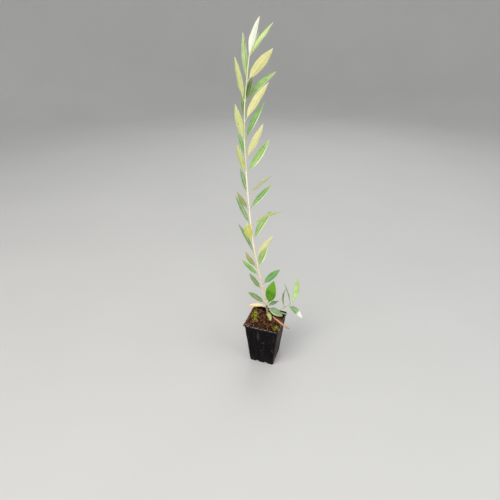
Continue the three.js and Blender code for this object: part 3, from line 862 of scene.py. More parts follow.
@dataclass
class Stem:
    """The tree's one stem: its centre line and its thickness by height above the compost.

    Attributes:
        foot: Where it stands in the pot.
        way: Heights, and how far the line has moved there to the right and to the back.
        height: Its height above the compost.
        foot_radius, tip_radius: Its radius at the foot, without the flare, and at the tip.
        flare_reach, flare_height: What the flare adds at the soil, and how high up it fades.
        node_swell, node_spread: What a node adds to the radius, and how long it is.
        cushion, cushion_spread: The same for the cushion under a leaf's petiole.
        ridge: How deep the ridges and the cork spots are, as a share of the radius.
        gnarl, gnarl_height: How deep the foot's coarse relief is, and how high up it fades.
        scar, scar_spread: The height of the corky scar at the small leaves, and how long it is.
        sunk: How far the mesh goes down into the compost.
        sides, step: How many points go round the mesh, and the height of one ring.
        samples: Points of the centre line, worked out from the way.
    """

    foot: tuple[float, float] = (-1.9, 19.1)
    way: tuple[Triple, ...] = (
        (0, 0, 0), (36, -4, 1), (76, -13, 2), (122, -22, 0), (184, -32, -3), (275, -41, -2),
        (368, -46, 2), (430, -45, 1), (488, -39, -1),
    )
    height: float = 488.0
    foot_radius: float = 2.1
    tip_radius: float = 0.8
    flare_reach: float = 1.2
    flare_height: float = 7.0
    node_swell: float = 0.2
    node_spread: float = 2.5
    cushion: float = 0.45
    cushion_spread: float = 1.7
    ridge: float = 0.05
    gnarl: float = 0.35
    gnarl_height: float = 14.0
    scar: float = 24.0
    scar_spread: float = 4.0
    sunk: float = 2.0
    sides: int = 20
    step: float = 1.0
    samples: Array = field(init=False, repr=False)

    def __post_init__(self) -> None:
        """Works the centre line out."""
        base = np.array((*self.foot, COMPOST_TOP))
        marks = [base + UP * high + TO_RIGHT * right + TO_BACK * back
                 for high, right, back in self.way]
        self.samples = self.curve([2 * marks[0] - marks[1], *marks, 2 * marks[-1] - marks[-2]])

    @staticmethod
    def curve(marks: Sequence[Array], steps: int = 40) -> Array:
        """Returns points of the smooth curve through marks, which starts at the second of them.

        Args:
            marks: The points to go through, with one more before and after them.
            steps: How many points each stretch gets.

        Returns:
            The points, one in each row.
        """
        points = []
        for index in range(1, len(marks) - 2):
            before, start, end, after = marks[index - 1 : index + 3]
            hops = (start - before, end - start, after - end)
            gap_a, gap_b, gap_c = (sqrt(np.linalg.norm(step)) for step in hops)
            leave = (start - before) / gap_a - (end - before) / (gap_a + gap_b)
            leave = (leave + (end - start) / gap_b) * gap_b
            arrive = (end - start) / gap_b - (after - start) / (gap_b + gap_c)
            arrive = (arrive + (after - end) / gap_c) * gap_b
            for share in np.linspace(0, 1, steps, endpoint=False):
                square, cube = share**2, share**3
                points.append(
                    start * (2 * cube - 3 * square + 1) + end * (3 * square - 2 * cube)
                    + leave * (cube - 2 * square + share) + arrive * (cube - square)
                )
        points.append(marks[-2])
        return np.array(points)

    def at(self, height: float) -> Array:
        """Finds a point of the centre line.

        Args:
            height: Its height above the compost.

        Returns:
            The point.
        """
        z = COMPOST_TOP + height
        x, y = (np.interp(z, self.samples[:, 2], self.samples[:, axis]) for axis in (0, 1))
        return np.array((x, y, z))

    def radius(self, height: float) -> float:
        """Works out the radius: the taper, the flare and the nodes' swelling.

        Args:
            height: The height above the compost.

        Returns:
            The radius there.
        """
        taper = self.foot_radius + (self.tip_radius - self.foot_radius) * height / self.height
        flare = self.flare_reach * exp(-height / self.flare_height)
        return taper + flare + self.node_swell * self.node(height)

    def node(self, height: float) -> float:
        """Returns how near a height is to a node, from 0 to 1."""
        return max(bell(height - pair.height, self.node_spread) for pair in PAIRS)

    def cushions(self) -> list[tuple[float, float]]:
        """Returns the height and bearing of each leaf's cushion on the stem."""
        leaves = [leaf for index, pair in enumerate(PAIRS) for leaf in pair.leaves(index)]
        return [(leaf.height, leaf.bearing()) for leaf in leaves]

    def push(self, way: Array, turn: float, height: float, radius: float,
             cushions: Sequence[tuple[float, float]]) -> float:
        """Works out how far the bark stands out from the plain round stem.

        Args:
            way: The level direction of the point from the centre line.
            turn: The angle of that direction.
            height: The point's height above the compost.
            radius: The stem's radius there.
            cushions: The height and bearing of each cushion near it.

        Returns:
            The distance, which is less than 0 in a hollow.
        """
        point = self.at(height) + way * radius
        ridge = self.ridge * relief((way[0] * 3, way[1] * 3, height * 0.05), 1.0)
        gnarl = self.gnarl * exp(-max(height, 0) / self.gnarl_height) * relief(point, 2.5)
        cork = self.ridge * relief(point, 0.9, 2)
        bulge = sum(self.cushion * bell(height - high + 0.6, self.cushion_spread)
                    * max(cos(turn - bearing), 0.0) ** 3 for high, bearing in cushions)
        return (ridge + cork) * radius + gnarl + bulge + 0.06 * self.node(height)

    def build(self) -> None:
        """Builds the stem with its bark's relief: ridges, cork spots, nodes and leaf cushions."""
        cushions = self.cushions()
        turns = round_turns(self.sides)
        rings, marks = [], []
        for height in np.arange(-self.sunk, self.height + self.step / 2, self.step):
            centre, radius = self.at(height), self.radius(max(height, 0.0))
            near = [cushion for cushion in cushions if abs(cushion[0] - height) < 6]
            along, node = max(height, 0) / self.height, self.node(height)
            scar = bell(height - self.scar, self.scar_spread)
            ring, row = [], []
            for turn in turns:
                way = level(turn)
                ring.append(centre + way * (radius + self.push(way, turn, height, radius, near)))
                row.append(marked(along, node, scar, 0.5, *(way[:2] * radius)))
            rings.append(ring)
            marks.append(row)
        draft = Draft()
        draft.loft(np.array(rings), 0, np.array(marks))
        draft.piece("stem_bark", [BARK], "bark", ["stem"])


# Leaves


@dataclass(frozen=True)
class Leaf:
    """One leaf.

    Attributes:
        length, width: The length of its chord, and the blade's greatest width.
        rise: The chord's slope above level.
        turn: How far it swings to the back, out of the plane that faces the front.
        roll: How far its upper face is turned to the back.
        bow: How far it bends down from root to tip.
        side: 1 to the right and -1 to the left.
        height: The height of its root above the compost, or above its pair's node.
        tone: Its colours.
    """

    length: float
    width: float
    rise: float
    turn: float = 0.0
    roll: float = 0.0
    bow: float = 4.0
    side: int = 1
    height: float = 0.0
    tone: Tone = Tone.GREEN

    def bearing(self) -> float:
        """Returns the level angle that it points along, in radians."""
        turn = radians(self.turn)
        return FRONT + (turn if self.side > 0 else pi - turn)

    def at(self, height: float, side: int, facing: int = 1) -> Leaf:
        """Returns the leaf at a height and side, swinging forward where facing is -1."""
        return replace(self, turn=self.turn * facing, side=side, height=height)


@dataclass(frozen=True)
class Pair:
    """Two opposite leaves, of which the near one grows forward and the far one back.

    Attributes:
        height: The node's height above the compost.
        far: The far leaf.
        near: The near leaf, where there is one.
        young: A young leaf from the same node, where there is one.
    """

    height: float
    far: Leaf
    near: Leaf | None = None
    young: Leaf | None = None

    def leaves(self, index: int) -> list[Leaf]:
        """Puts its leaves in place; the near one is on the right in an even pair.

        Args:
            index: The pair's place in the row of pairs.

        Returns:
            The leaves.
        """
        side = 1 if index % 2 == 0 else -1
        found = [self.near.at(self.height + self.near.height, side, -1)] if self.near else []
        found.append(self.far.at(self.height, -side))
        if self.young:
            found.append(self.young.at(self.height, self.young.side))
        return found


PAIRS = (
    Pair(32.5, Leaf(43, 13, 33, 11, -20, tone=Tone.DULL),
         Leaf(59, 23, 79, 12, -67, -12, tone=Tone.VIVID)),
    Pair(78.5, Leaf(46, 14, 31, 28, -27, tone=Tone.FRESH),
         Leaf(46, 10, 58, 4, -45, -15, height=-9.5, tone=Tone.DULL)),
    Pair(100, Leaf(46, 10.5, 36, 26, -22, 14)),
    Pair(122, Leaf(43, 16, 54, 47, bow=6, tone=Tone.STRIPED),
         Leaf(51, 9, 60, 35, 50, -22, tone=Tone.BROWNED)),
    Pair(151, Leaf(69, 8, 44, 50, -12, 8, tone=Tone.GREYED),
         Leaf(61, 11, 57, 29, 54, -12, tone=Tone.CREAM)),
    Pair(184, Leaf(65, 14, 41, 46, -14, 18, tone=Tone.LIGHT),
         Leaf(41, 15, 74, 43, 52, -24, tone=Tone.YELLOWED)),
    Pair(214, Leaf(62, 9, 49, 48, -25, tone=Tone.GREYED),
         Leaf(65, 9, 33, 17, 54, 30, tone=Tone.OLIVE)),
    Pair(247, Leaf(60, 11, 35, 36, -31, 9), Leaf(47, 8, 58, 41, 38, -4, tone=Tone.BROWNED)),
    Pair(275, Leaf(49, 8, 53, 65, -9, tone=Tone.GREYED),
         Leaf(60, 7, 44, 20, 49, 6, tone=Tone.TANNED)),
    Pair(313, Leaf(68, 13, 48, 34, -40, -4, tone=Tone.LIGHT),
         Leaf(57, 12, 73, 36, 19, -12, tone=Tone.OLIVE)),
    Pair(339, Leaf(50, 8, 43, 70, 16, 13), Leaf(66, 13, 63, 27, 49, -9, tone=Tone.CREAM)),
    Pair(368, Leaf(70, 11, 51, 45, -19, 16), Leaf(62, 12, 73, 46, 30, -2, tone=Tone.GREEN)),
    Pair(400, Leaf(47, 7, 70, 75, 20, tone=Tone.DULL),
         Leaf(70, 15, 57, 23, 36, 8, tone=Tone.CREAM)),
    Pair(430, Leaf(67, 11, 36, 28, -28, 14, tone=Tone.LIGHT), Leaf(65, 12, 76, 35, 14, -10),
         Leaf(37, 10, 72, 25, -12, side=1, tone=Tone.DEEP)),
    Pair(459, Leaf(71, 10, 66, 79, -30, tone=Tone.BLUISH),
         Leaf(66, 15, 44, 41, 50, tone=Tone.CREAM)),
)


@dataclass
class Section:
    """One cross-section of a leaf.

    Attributes:
        centre: Its centre.
        across, way: The directions across the blade and along the leaf.
        half, depth: Half its width and half its thickness.
        flat: 0 for a round petiole, 1 for a flat blade.
        rib: How far the midrib stands out.
        curl: How far the margins roll in, from 0 to 1.
        wave, tilt: How far the margins wave the same way, and in opposite ways.
    """

    centre: Array
    across: Array
    way: Array
    half: float
    depth: float
    flat: float = 0.0
    rib: float = 0.0
    curl: float = 0.0
    wave: float = 0.0
    tilt: float = 0.0


@dataclass
class BladeForm:
    """How a leaf's body is made: a round petiole that flattens into a lance-shaped blade.

    Attributes:
        petiole_share, petiole_radius: The petiole's share of the length, and its radius.
        tip_radius: Half the width of the tip.
        thickness: The blade's thickness.
        channel: How far the two halves of the blade fold up from the midrib.
        fullness: How full the outline is towards its ends.
        rings: How many rings the mesh has.
        row: The places of the mesh's points from the midrib to the margin.
        rib_height, rib_width: How far the midrib stands out below, and how wide it is.
        wave: How much the margins wave.
        roll_in: How far a margin turns when it has rolled in, in radians.
        twist: How far the blade may twist, in degrees.
        sway: How far the blade may curve aside, as a share of its length.
    """

    petiole_share: float = 0.09
    petiole_radius: float = 0.6
    tip_radius: float = 0.14
    thickness: float = 0.55
    channel: float = 0.26
    fullness: float = 0.85
    rings: int = 42
    row: tuple[float, ...] = (0.05, 0.12, 0.25, 0.43, 0.62, 0.8, 0.92)
    rib_height: float = 0.34
    rib_width: float = 0.42
    wave: float = 0.5
    roll_in: float = 1.9
    twist: float = 7.0
    sway: float = 0.012

    def half_width(self, along: float, width: float) -> float:
        """Works out half the blade's width.

        Args:
            along: The way from root to tip, from 0 to 1.
            width: The blade's greatest width.

        Returns:
            Half the width there.
        """
        blade = min(max((along - self.petiole_share) / (1 - self.petiole_share), 0.0), 1.0)
        lance = width / 2 * max(sin(pi * blade**self.fullness), 0.0) ** self.fullness
        least = self.petiole_radius + (self.tip_radius - self.petiole_radius) * along
        return max(lance, least)

    def places(self) -> tuple[list[float], list[float]]:
        """Returns the places across the upper face and back across the underside."""
        upper = [-place for place in reversed((0.0, *self.row, 1.0))] + [*self.row, 1.0]
        return upper, [*reversed(self.row), 0.0, *(-place for place in self.row)]

    def draft(self, draft: Draft, leaf: Leaf, root: Array, base: Array,
              coats: tuple[int, int], chance: random.Random, curl: float = 0.0) -> None:
        """Adds a leaf to a draft.

        Args:
            draft: What it is added to.
            leaf: The leaf.
            root: Where its petiole leaves the node.
            base: The point inside the limb that the petiole starts from.
            coats: The material indices of the upper face and the underside.
            chance: Where its small chance differences come from.
            curl: How far the margins roll in, from 0 to 1.
        """
        outward = level(leaf.bearing())
        across = np.cross(outward, UP)
        bend = radians(leaf.bow)
        first_slope = radians(leaf.rise) + bend / 2
        arc = leaf.length * bend / 2 / sin(bend / 2)
        phase, sway, twist = (chance.uniform(-1, 1) for _ in range(3))
        shade = chance.random()
        upper, lower = self.places()
        sides = len(upper) + len(lower)
        first_way = outward * cos(first_slope) + UP * sin(first_slope)
        rings = [self.ring(part) for part in self.petiole(root, base, first_way, across)]
        marks = [[marked(rib=1.0, shade=shade)] * sides for _ in rings]
        steps = np.linspace(0, 1, self.rings)
        for along in 0.6 * steps + 0.4 * (0.5 - 0.5 * np.cos(pi * steps)):
            slope = first_slope - bend * along
            run = arc * (sin(first_slope) - sin(slope)) / bend
            climb = arc * (cos(slope) - cos(first_slope)) / bend
            way = outward * cos(slope) + UP * sin(slope)
            flat = smooth(along, 0, 2 * self.petiole_share)
            middle = sin(pi * along)
            roll = radians(leaf.roll) * leaf.side + radians(self.twist) * twist * middle
            side = turned(across, way, -roll * flat)
            centre = root + outward * run + UP * climb
            centre = centre + side * (sway * self.sway * leaf.length * middle)
            half = self.half_width(along, leaf.width)
            depth = self.petiole_radius + (self.thickness / 2 - self.petiole_radius) * flat
            depth = min(depth, max(half, self.tip_radius))
            rings.append(self.ring(Section(
                centre, side, way, half, depth, flat,
                rib=self.rib_height * flat * (1 - along) ** 0.6, curl=curl * flat,
                wave=self.wave * flat * middle * sin(along * 17 + phase * 3),
                tilt=self.wave * flat * middle * sin(along * 13 + phase * 5 + 2))))
            marks.append([
                marked(along, bell(place * half, 0.45) if flat > 0.02 else 1.0,
                       flat * smooth(abs(place) * half, half - 0.9, half - 0.1), shade,
                       place * half, 0.0 if spot < len(upper) else 4.0)
                for spot, place in enumerate((*upper, *lower))
            ])
        painted = [coats[0] if place < len(upper) - 1 else coats[1] for place in range(sides)]
        draft.loft(np.array(rings), painted, np.array(marks))

    def petiole(self, root: Array, base: Array, way: Array, across: Array) -> list[Section]:
        """Works out the sections of the petiole's foot, which bends out of the limb.

        Args:
            root: Where the petiole leaves the node.
            base: The point inside the limb that it starts from.
            way: The leaf's direction at the root.
            across: The direction across the leaf.

        Returns:
            The sections from the base to just before the root.
        """
        hinge = root - way * min(np.linalg.norm(root - base) * 0.6, 1.6)
        parts = []
        for share in (0.0, 0.35, 0.7):
            centre = base * (1 - share) ** 2 + hinge * 2 * share * (1 - share) + root * share**2
            ahead = unit((hinge - base) * (1 - share) + (root - hinge) * share)
            radius = self.petiole_radius * (1.25 - 0.25 * share)
            parts.append(Section(centre, across, ahead, radius, radius))
        return parts

    def ring(self, part: Section) -> list[Array]:
        """Works out the points of a ring, along the upper face and back along the underside.

        Args:
            part: The cross-section there.

        Returns:
            The ring's points.
        """
        power = 2 + 6 * part.flat
        normal = np.cross(part.across, part.way)
        upper, lower = self.places()
        points = []
        for row, face in ((upper, 1), (lower, -1)):
            for place in row:
                x = place * part.half
                body = part.depth * sqrt(max(1 - abs(place) ** power, 0.0))
                fold = self.channel * part.flat * (hypot(x, 0.5) - 0.5)
                down = 0.05 * part.flat * part.half * abs(place) ** 5
                margin = (part.wave + place * part.tilt) * place**2
                midrib = (-0.45 if face > 0 else -1) * part.rib * bell(x, self.rib_width)
                bend = part.curl * place * self.roll_in
                if part.curl:
                    round_ = part.curl * self.roll_in
                    x = part.half * sin(bend) / round_ if abs(bend) > 1e-6 else x
                    fold += part.half * (1 - cos(bend)) / round_
                lift = fold - down + margin * 0.6 + face * body + midrib
                points.append(part.centre + part.across * x + normal * lift)
        return points


class Foliage:
    """All the masses of leaves, each one piece in its own space."""

    def __init__(self, stem: Stem, form: BladeForm) -> None:
        """Keeps what the leaves need.

        Args:
            stem: The stem that they grow from.
            form: The form of a blade.
        """
        self.stem = stem
        self.form = form
        self.chance = random.Random(31)

    def base(self, height: float, bearing: float) -> Array:
        """Returns the point inside the stem that a petiole starts from."""
        return self.stem.at(height - 0.9) + level(bearing) * self.stem.radius(height) * 0.35

    def grow(self, name: str, leaves: Sequence[Leaf], roots: Sequence[Array],
             bases: Sequence[Array], replaces: str, draft: Draft | None = None,
             limbs: Sequence[Finish] = ()) -> None:
        """Grows one mass of leaves.

        Args:
            name: The piece's name.
            leaves: Its leaves.
            roots: Where each petiole leaves its node.
            bases: Where each petiole starts inside the limb.
            replaces: The solid that it stands for.
            draft: What it is added to, with the limbs that it already holds.
            limbs: The finishes of those limbs.
        """
        draft = draft or Draft()
        finishes = list(limbs)
        for leaf, root, base in zip(leaves, roots, bases):
            finishes += [face for face in leaf.tone.faces if face not in finishes]
            coats = tuple(finishes.index(face) for face in leaf.tone.faces)
            self.form.draft(draft, leaf, root, base, coats, self.chance)
        draft.piece(name, finishes, "leaf", [replaces])

    def on_stem(self, name: str, leaves: Sequence[Leaf], distance: float, replaces: str) -> None:
        """Grows leaves on the stem.

        Args:
            name: The piece's name.
            leaves: Its leaves.
            distance: How far their roots are from the stem's centre line.
            replaces: The solid that it stands for.
        """
        roots = [self.stem.at(leaf.height) + level(leaf.bearing()) * distance for leaf in leaves]
        bases = [self.base(leaf.height, leaf.bearing()) for leaf in leaves]
        self.grow(name, leaves, roots, bases, replaces)

    def pairs(self) -> None:
        """Grows the pairs up the stem."""
        for index, pair in enumerate(PAIRS):
            distance = self.stem.radius(pair.height) + GAP + ROOT_DEPTH
            number = f"{index + 1:02d}"
            self.on_stem(f"olive_leaves_{number}", pair.leaves(index), distance,
                         f"leaf_pair_{number}")

    def basal(self) -> None:
        """Grows the small leaves low on the stem."""
        height, length = 18.0, 13.0
        distance = self.stem.radius(height - length / 2) + GAP + ROOT_DEPTH
        leaves = [
            Leaf(28, 9, 2, 34, -12, 16, height=height + 6, tone=Tone.PINK_TIPPED),
            Leaf(35, 15, -24, -21, -35, -4, height=height + 5, tone=Tone.GREYED),
            Leaf(42, 9, -8, -11, 12, -8, height=height - 2, tone=Tone.GREYED),
            Leaf(20, 9, -32, -70, 12, 41, height=height - 5.5, tone=Tone.SALLOW),
        ]
        self.on_stem("olive_leaves_basal", leaves, distance, "basal_leaves")

    def tip(self) -> None:
        """Grows the stem's tip: a short end of twig and the leaves round it."""
        length = 7.0
        top = self.stem.at(self.stem.height)
        lean = unit(top - self.stem.at(self.stem.height - length))
        foot = top + UP * GAP
        draft = Draft()
        shares = np.linspace(-0.15, 1.0, 9)
        centres = np.array([foot + lean * share * length for share in shares])
        radii = [0.8 + 0.1 * smooth(share, 0, 0.3) - 0.45 * smooth(share, 0.3, 1.0)
                 for share in shares]
        rings, marks = tube(centres, radii, 14)
        marks[:, :, Mark.ALONG] = 1.0
        marks[:, :, Mark.RIB] = 0.4
        draft.loft(rings, 0, marks)
        root = foot + lean * (length / 2)
        leaves = [
            Leaf(59, 11, 62, -58, bow=16, tone=Tone.PALE),
            Leaf(61, 10, 47, 31, -11, tone=Tone.PALE),
            Leaf(35, 6, 66, -6, 25),
            Leaf(20, 3, 80, 70, tone=Tone.PALE),
        ]
        bases = [root - lean * 2.5] * len(leaves)
        self.grow("olive_leaves_tip", leaves, [root] * len(leaves), bases, "tip_leaves", draft,
                  [BARK])

    def dead(self) -> None:
        """Hangs the dead leaf on the stem."""
        leaf = Leaf(38, 10, 1, -1, -24, 6, side=-1, height=26.4)
        distance = self.stem.radius(leaf.height) + GAP
        root = self.stem.at(leaf.height) + level(leaf.bearing()) * distance
        draft = Draft()
        form = BladeForm(thickness=0.45, rib_height=0.4, wave=1.1)
        base = self.base(leaf.height, leaf.bearing())
        form.draft(draft, leaf, root, base, (0, 0), self.chance, curl=0.55)
        draft.piece("dead_olive_leaf", [DEAD_LEAF_SKIN], "dry_leaf", ["dead_leaf"])


@dataclass
class SideShoot:
    """The thin shoot from low on the stem that reaches over the right rim, and its leaves.

    Attributes:
        stem, form: The stem that it grows from, and the form of its leaves.
        start, end: The heights of its root and of its end above the compost.
        length: How far it reaches from the stem's centre line.
        turn: How far it swings to the back.
        sag: How far its middle hangs.
        base_radius, end_radius: Its radius at the stem and at its end.
        twig, twig_radius: The length and the radius of the leafy end.
        knots, twig_knots: Where the shoot and its leafy end have nodes, as shares of the length.
        knot_spread, swell: How long a node is, and how much thicker, as a share of the radius.
    """

    stem: Stem
    form: BladeForm
    start: float = 8.0
    end: float = 18.0
    length: float = 36.0
    turn: float = 8.0
    sag: float = 3.0
    base_radius: float = 1.4
    end_radius: float = 0.9
    twig: float = 16.0
    twig_radius: float = 1.1
    knots: tuple[float, ...] = (0.22, 0.6)
    twig_knots: tuple[float, ...] = (0.05, 0.5, 0.92)
    knot_spread: float = 1.3
    swell: float = 0.16

    def outward(self) -> Array:
        """Returns the level direction that it grows in."""
        return level(FRONT + radians(self.turn))

    def at(self, along: float) -> Array:
        """Finds a point of its line.

        Args:
            along: The share of its length.

        Returns:
            The point.
        """
        start = self.stem.radius(self.start) + GAP + self.base_radius / 2
        out = start + (self.length - start) * along
        climb = (self.end - self.start) * along - self.sag * sin(pi * along)
        return self.stem.at(self.start) + self.outward() * out + UP * climb

    def way(self, along: float) -> Array:
        """Returns its direction at a share of its length."""
        step = 1 / 8
        return unit(self.at(along + step) - self.at(along - step))

    def limb(self, rings: int, sunk: float, twig: bool) -> Draft:
        """Drafts the limb or its leafy end.

        Args:
            rings: How many rings it gets.
            sunk: How far it starts inside what carries it, as a share of its length.
            twig: Whether this is the leafy end.

        Returns:
            The draft.
        """
        start, way = self.at(1.0), self.way(1.0)
        knots, reach = (self.twig_knots, self.twig) if twig else (self.knots, 38)
        centres, radii, nodes = [], [], []
        for share in np.linspace(-sunk, 1.0, rings):
            node = max(bell((share - knot) * reach, self.knot_spread) for knot in knots)
            if twig:
                centre = start + way * (GAP + share * self.twig)
                radius = self.twig_radius - 0.35 * share
            else:
                centre = self.at(share)
                radius = self.base_radius + (self.end_radius - self.base_radius) * share
            centres.append(centre)
            nodes.append(node)
            radii.append(radius * (1 + self.swell * node))
        body, marks = tube(np.array(centres), radii, 14)
        for row in body:
            middle = row.mean(axis=0)
            for index, point in enumerate(row):
                row[index] = point + (point - middle) * 0.09 * relief(point, 1.6)
        along = marks[:, :, Mark.ALONG]
        marks[:, :, Mark.ALONG] = 0.02 + 0.08 * along + (0.25 if twig else 0.0)
        marks[:, :, Mark.RIB] = np.array(nodes)[:, None]
        draft = Draft()
        draft.loft(body, 0, marks)
        return draft

    def build(self, foliage: Foliage) -> None:
        """Builds the shoot, its leafy end and its leaves.

        Args:
            foliage: Grows the leaves.
        """
        shoot = self.limb(60, 0.06, twig=False)
        shoot.piece("side_shoot_bark", [SHOOT_BARK], "bark", ["side_shoot"])
        leafy = self.limb(30, 0.08, twig=True)
        start, way = self.at(1.0), self.way(1.0)
        leaves = [
            Leaf(65, 11, 82, 25, -44, -55, tone=Tone.LIME),
            Leaf(50, 6, 93, 34, -15, -65, side=-1, tone=Tone.DEEP),
            Leaf(54, 4, 73, 12, -18, 15, side=-1, tone=Tone.DEEP),
            Leaf(41, 13, -36, -23, -19, 37, tone=Tone.WHITE_TIPPED),
        ]
        roots = [start + way * (GAP + share * self.twig) for share in (0.95, 0.05, 0.9, 0.5)]
        bases = [root - way * 1.2 for root in roots]
        foliage.grow("olive_leaves_shoot", leaves, roots, bases, "side_shoot_leaves", leafy,
                     [SHOOT_BARK])


# Pot and compost


@dataclass
class Pot:
    """The square tapered pot of thin black plastic.

    Attributes:
        height: Its height.
        rim_side, foot_side: The sides of the rim's and the foot's squares, outside.
        wall, floor: The thickness of the wall and of the floor.
        lip_reach, lip_height: How far the lip stands out, and its height.
        corner: The radius of the corners at the rim.
        notch: The width, height and depth of a notch in the foot, and its distance from the
            middle of its side.
        hole: The radius of a drain hole and its distance from the middle along X and Y.
        crease: How deep the wall's creases are.
    """

    height: float = 99.0
    rim_side: float = 72.0
    foot_side: float = 51.0
    wall: float = 1.2
    floor: float = 1.8
    lip_reach: float = 1.0
    lip_height: float = 3.0
    corner: float = 4.0
    notch: tuple[float, float, float, float] = (7.0, 3.5, 4.0, 9.0)
    hole: tuple[float, float] = (2.5, 13.0)
    crease: float = 0.7

    def side_at(self, z: float) -> float:
        """Returns the side of the wall's square at a height, outside."""
        top = self.rim_side - 2 * self.lip_reach
        return self.foot_side + (top - self.foot_side) * z / self.height

    def outline(self, side: float, corner: float) -> Array:
        """Returns the points round a square with round corners.

        Args:
            side: The square's side.
            corner: The radius of its corners.

        Returns:
            The level points, one in each row.
        """
        inner = side / 2 - corner
        points = []
        for quarter in range(4):
            start = quarter * pi / 2
            flat = [(side / 2, y) for y in np.linspace(-inner, inner, 40, endpoint=False)]
            bends = np.linspace(0, pi / 2, 10, endpoint=False)
            bent = [(inner + corner * cos(b), inner + corner * sin(b)) for b in bends]
            east, north = cos(start), sin(start)
            points += [(x * east - y * north, x * north + y * east) for x, y in (*flat, *bent)]
        return np.array(points)

    def push(self, point: Array) -> Array:
        """Moves a point of the wall by the creases and soft dents of thin plastic.

        Args:
            point: A point of the pot in millimetres.

        Returns:
            Where it goes.
        """
        x, y, z = point
        reach = max(abs(x), abs(y))
        hold = smooth(z, 6, 24) * (1 - 0.85 * smooth(z, 74, 91))
        edge = smooth(reach, self.side_at(z) / 2 - 8, self.side_at(z) / 2 - 2)
        east, north, _ = level(atan2(y, x))
        folds = relief((east * 5, north * 5, z / 70), 1.0, 3)
        ridge = 1 - 2.2 * abs(relief((east * 3.2 + 9, north * 3.2, z / 45), 1.0, 2))
        soft = relief((x / 26, y / 26, z / 30), 1.0, 2)
        amount = self.crease * hold * edge * (0.7 * folds + 0.35 * ridge + 0.9 * soft - 0.45)
        sway = 0.35 * smooth(z, 80, 95) * relief((x / 30, y / 30, 4.0), 1.0, 1)
        out = np.array((x, y, 0.0)) / hypot(x, y) if hypot(x, y) > 1e-6 else np.zeros(3)
        return point + out * min(amount, 0.35) + out * sway * edge

    def block(self, profile: Sequence[Triple], name: str) -> Object:
        """Makes a closed block from squares with round corners.

        Args:
            profile: The height, side and corner radius of each square from the lowest up.
            name: The block's name.

        Returns:
            An object in millimetres that rides on no body.
        """
        rings = []
        for z, side, corner in profile:
            outline = self.outline(side, corner)
            rings.append(np.column_stack((outline, np.full(len(outline), z))))
        draft = Draft()
        draft.loft(np.array(rings))
        return placed(name, draft.mesh(name, 1.0))

    def outside(self) -> list[Triple]:
        """Returns the squares of the outside, with the rounded lip."""
        rows = [(0.0, self.foot_side - 0.8, 3.4), (0.5, self.foot_side, 3.8)]
        lip_low = self.height - self.lip_height
        for z in np.linspace(2.0, lip_low - 0.4, 62):
            rows.append((z, self.side_at(z), self.corner * self.side_at(z) / self.rim_side))
        for share in np.linspace(0, pi / 2, 5):
            z = lip_low - 0.2 + 0.7 * sin(share)
            rows.append((z, self.rim_side - 2 * self.lip_reach * cos(share), self.corner))
        for share in np.linspace(0, pi / 2, 6):
            z = self.height - 0.8 + 0.8 * sin(share)
            rows.append((z, self.rim_side - 1.2 * (1 - cos(share)), self.corner))
        return rows

    def inside(self) -> list[Triple]:
        """Returns the squares of the hollow."""
        rows = []
        for z in (*np.linspace(self.floor, self.height - 1, 64), self.height + 2):
            side = self.side_at(z) - 2 * self.wall
            rows.append((z, side, (self.corner - self.wall) * side / self.rim_side))
        return rows

    def cutters(self) -> Object:
        """Returns the bodies of the notches and drain holes as one object."""
        width, tall, deep, offset = self.notch
        draft = Draft()
        for quarter in range(4):
            east, north, _ = level(quarter * pi / 2)
            for shift in (-offset, offset):
                rows = []
                for z in (-1.0, tall - 1.2, tall - 0.4, tall):
                    narrow = 0.0 if z < tall - 1.3 else 0.6 * (z - tall + 1.2)
                    half = width / 2 - narrow
                    reach = self.foot_side / 2
                    corners = ((reach - deep, -half), (reach + 3, -half), (reach + 3, half),
                               (reach - deep, half))
                    rows.append([(x * east - (y + shift) * north, x * north + (y + shift) * east, z)
                                 for x, y in corners])
                draft.loft(np.array(rows))
        radius, middle = self.hole
        turns = round_turns(28)
        for x in (-middle, middle):
            for y in (-middle, middle):
                rows = [[(x + radius * cos(t), y + radius * sin(t), z) for t in turns]
                        for z in (-1.0, self.floor + 1)]
                draft.loft(np.array(rows))
        return placed("pot_cutters", draft.mesh("pot_cutters", 1.0))

    def build(self) -> None:
        """Builds the pot: the shell, cut by its hollow, notches and holes, then creased and worn."""
        shell = self.block(self.outside(), "pot_outside")
        cuts = [self.block(self.inside(), "pot_inside"), self.cutters()]
        for cut in cuts:
            change = shell.modifiers.new(cut.name, "BOOLEAN")
            change.operation, change.solver, change.object = "DIFFERENCE", "EXACT", cut
        bpy.context.view_layer.update()
        ready = shell.evaluated_get(bpy.context.evaluated_depsgraph_get())
        mesh = bpy.data.meshes.new_from_object(ready)
        for old in (shell, *cuts):
            bpy.data.objects.remove(old)
        points = np.array([vertex.co for vertex in mesh.vertices])
        moved = np.array([self.push(point) for point in points])
        mesh.vertices.foreach_set("co", (moved * MM).ravel())
        reach = np.abs(points[:, :2]).max(axis=1)
        worn = (points[:, 2] > self.height - 1.4) & (reach > self.rim_side / 2 - 1.6)
        layer = mesh.attributes.new(Mark.RIB.label, "FLOAT", "POINT")
        layer.data.foreach_set("value", worn.astype(np.float32))
        mesh.polygons.foreach_set("use_smooth", [True] * len(mesh.polygons))
        mesh.set_sharp_from_angle(angle=radians(40))
        mesh.name = "nursery_pot"
        dress(mesh, [POT_PLASTIC], ["pot"])


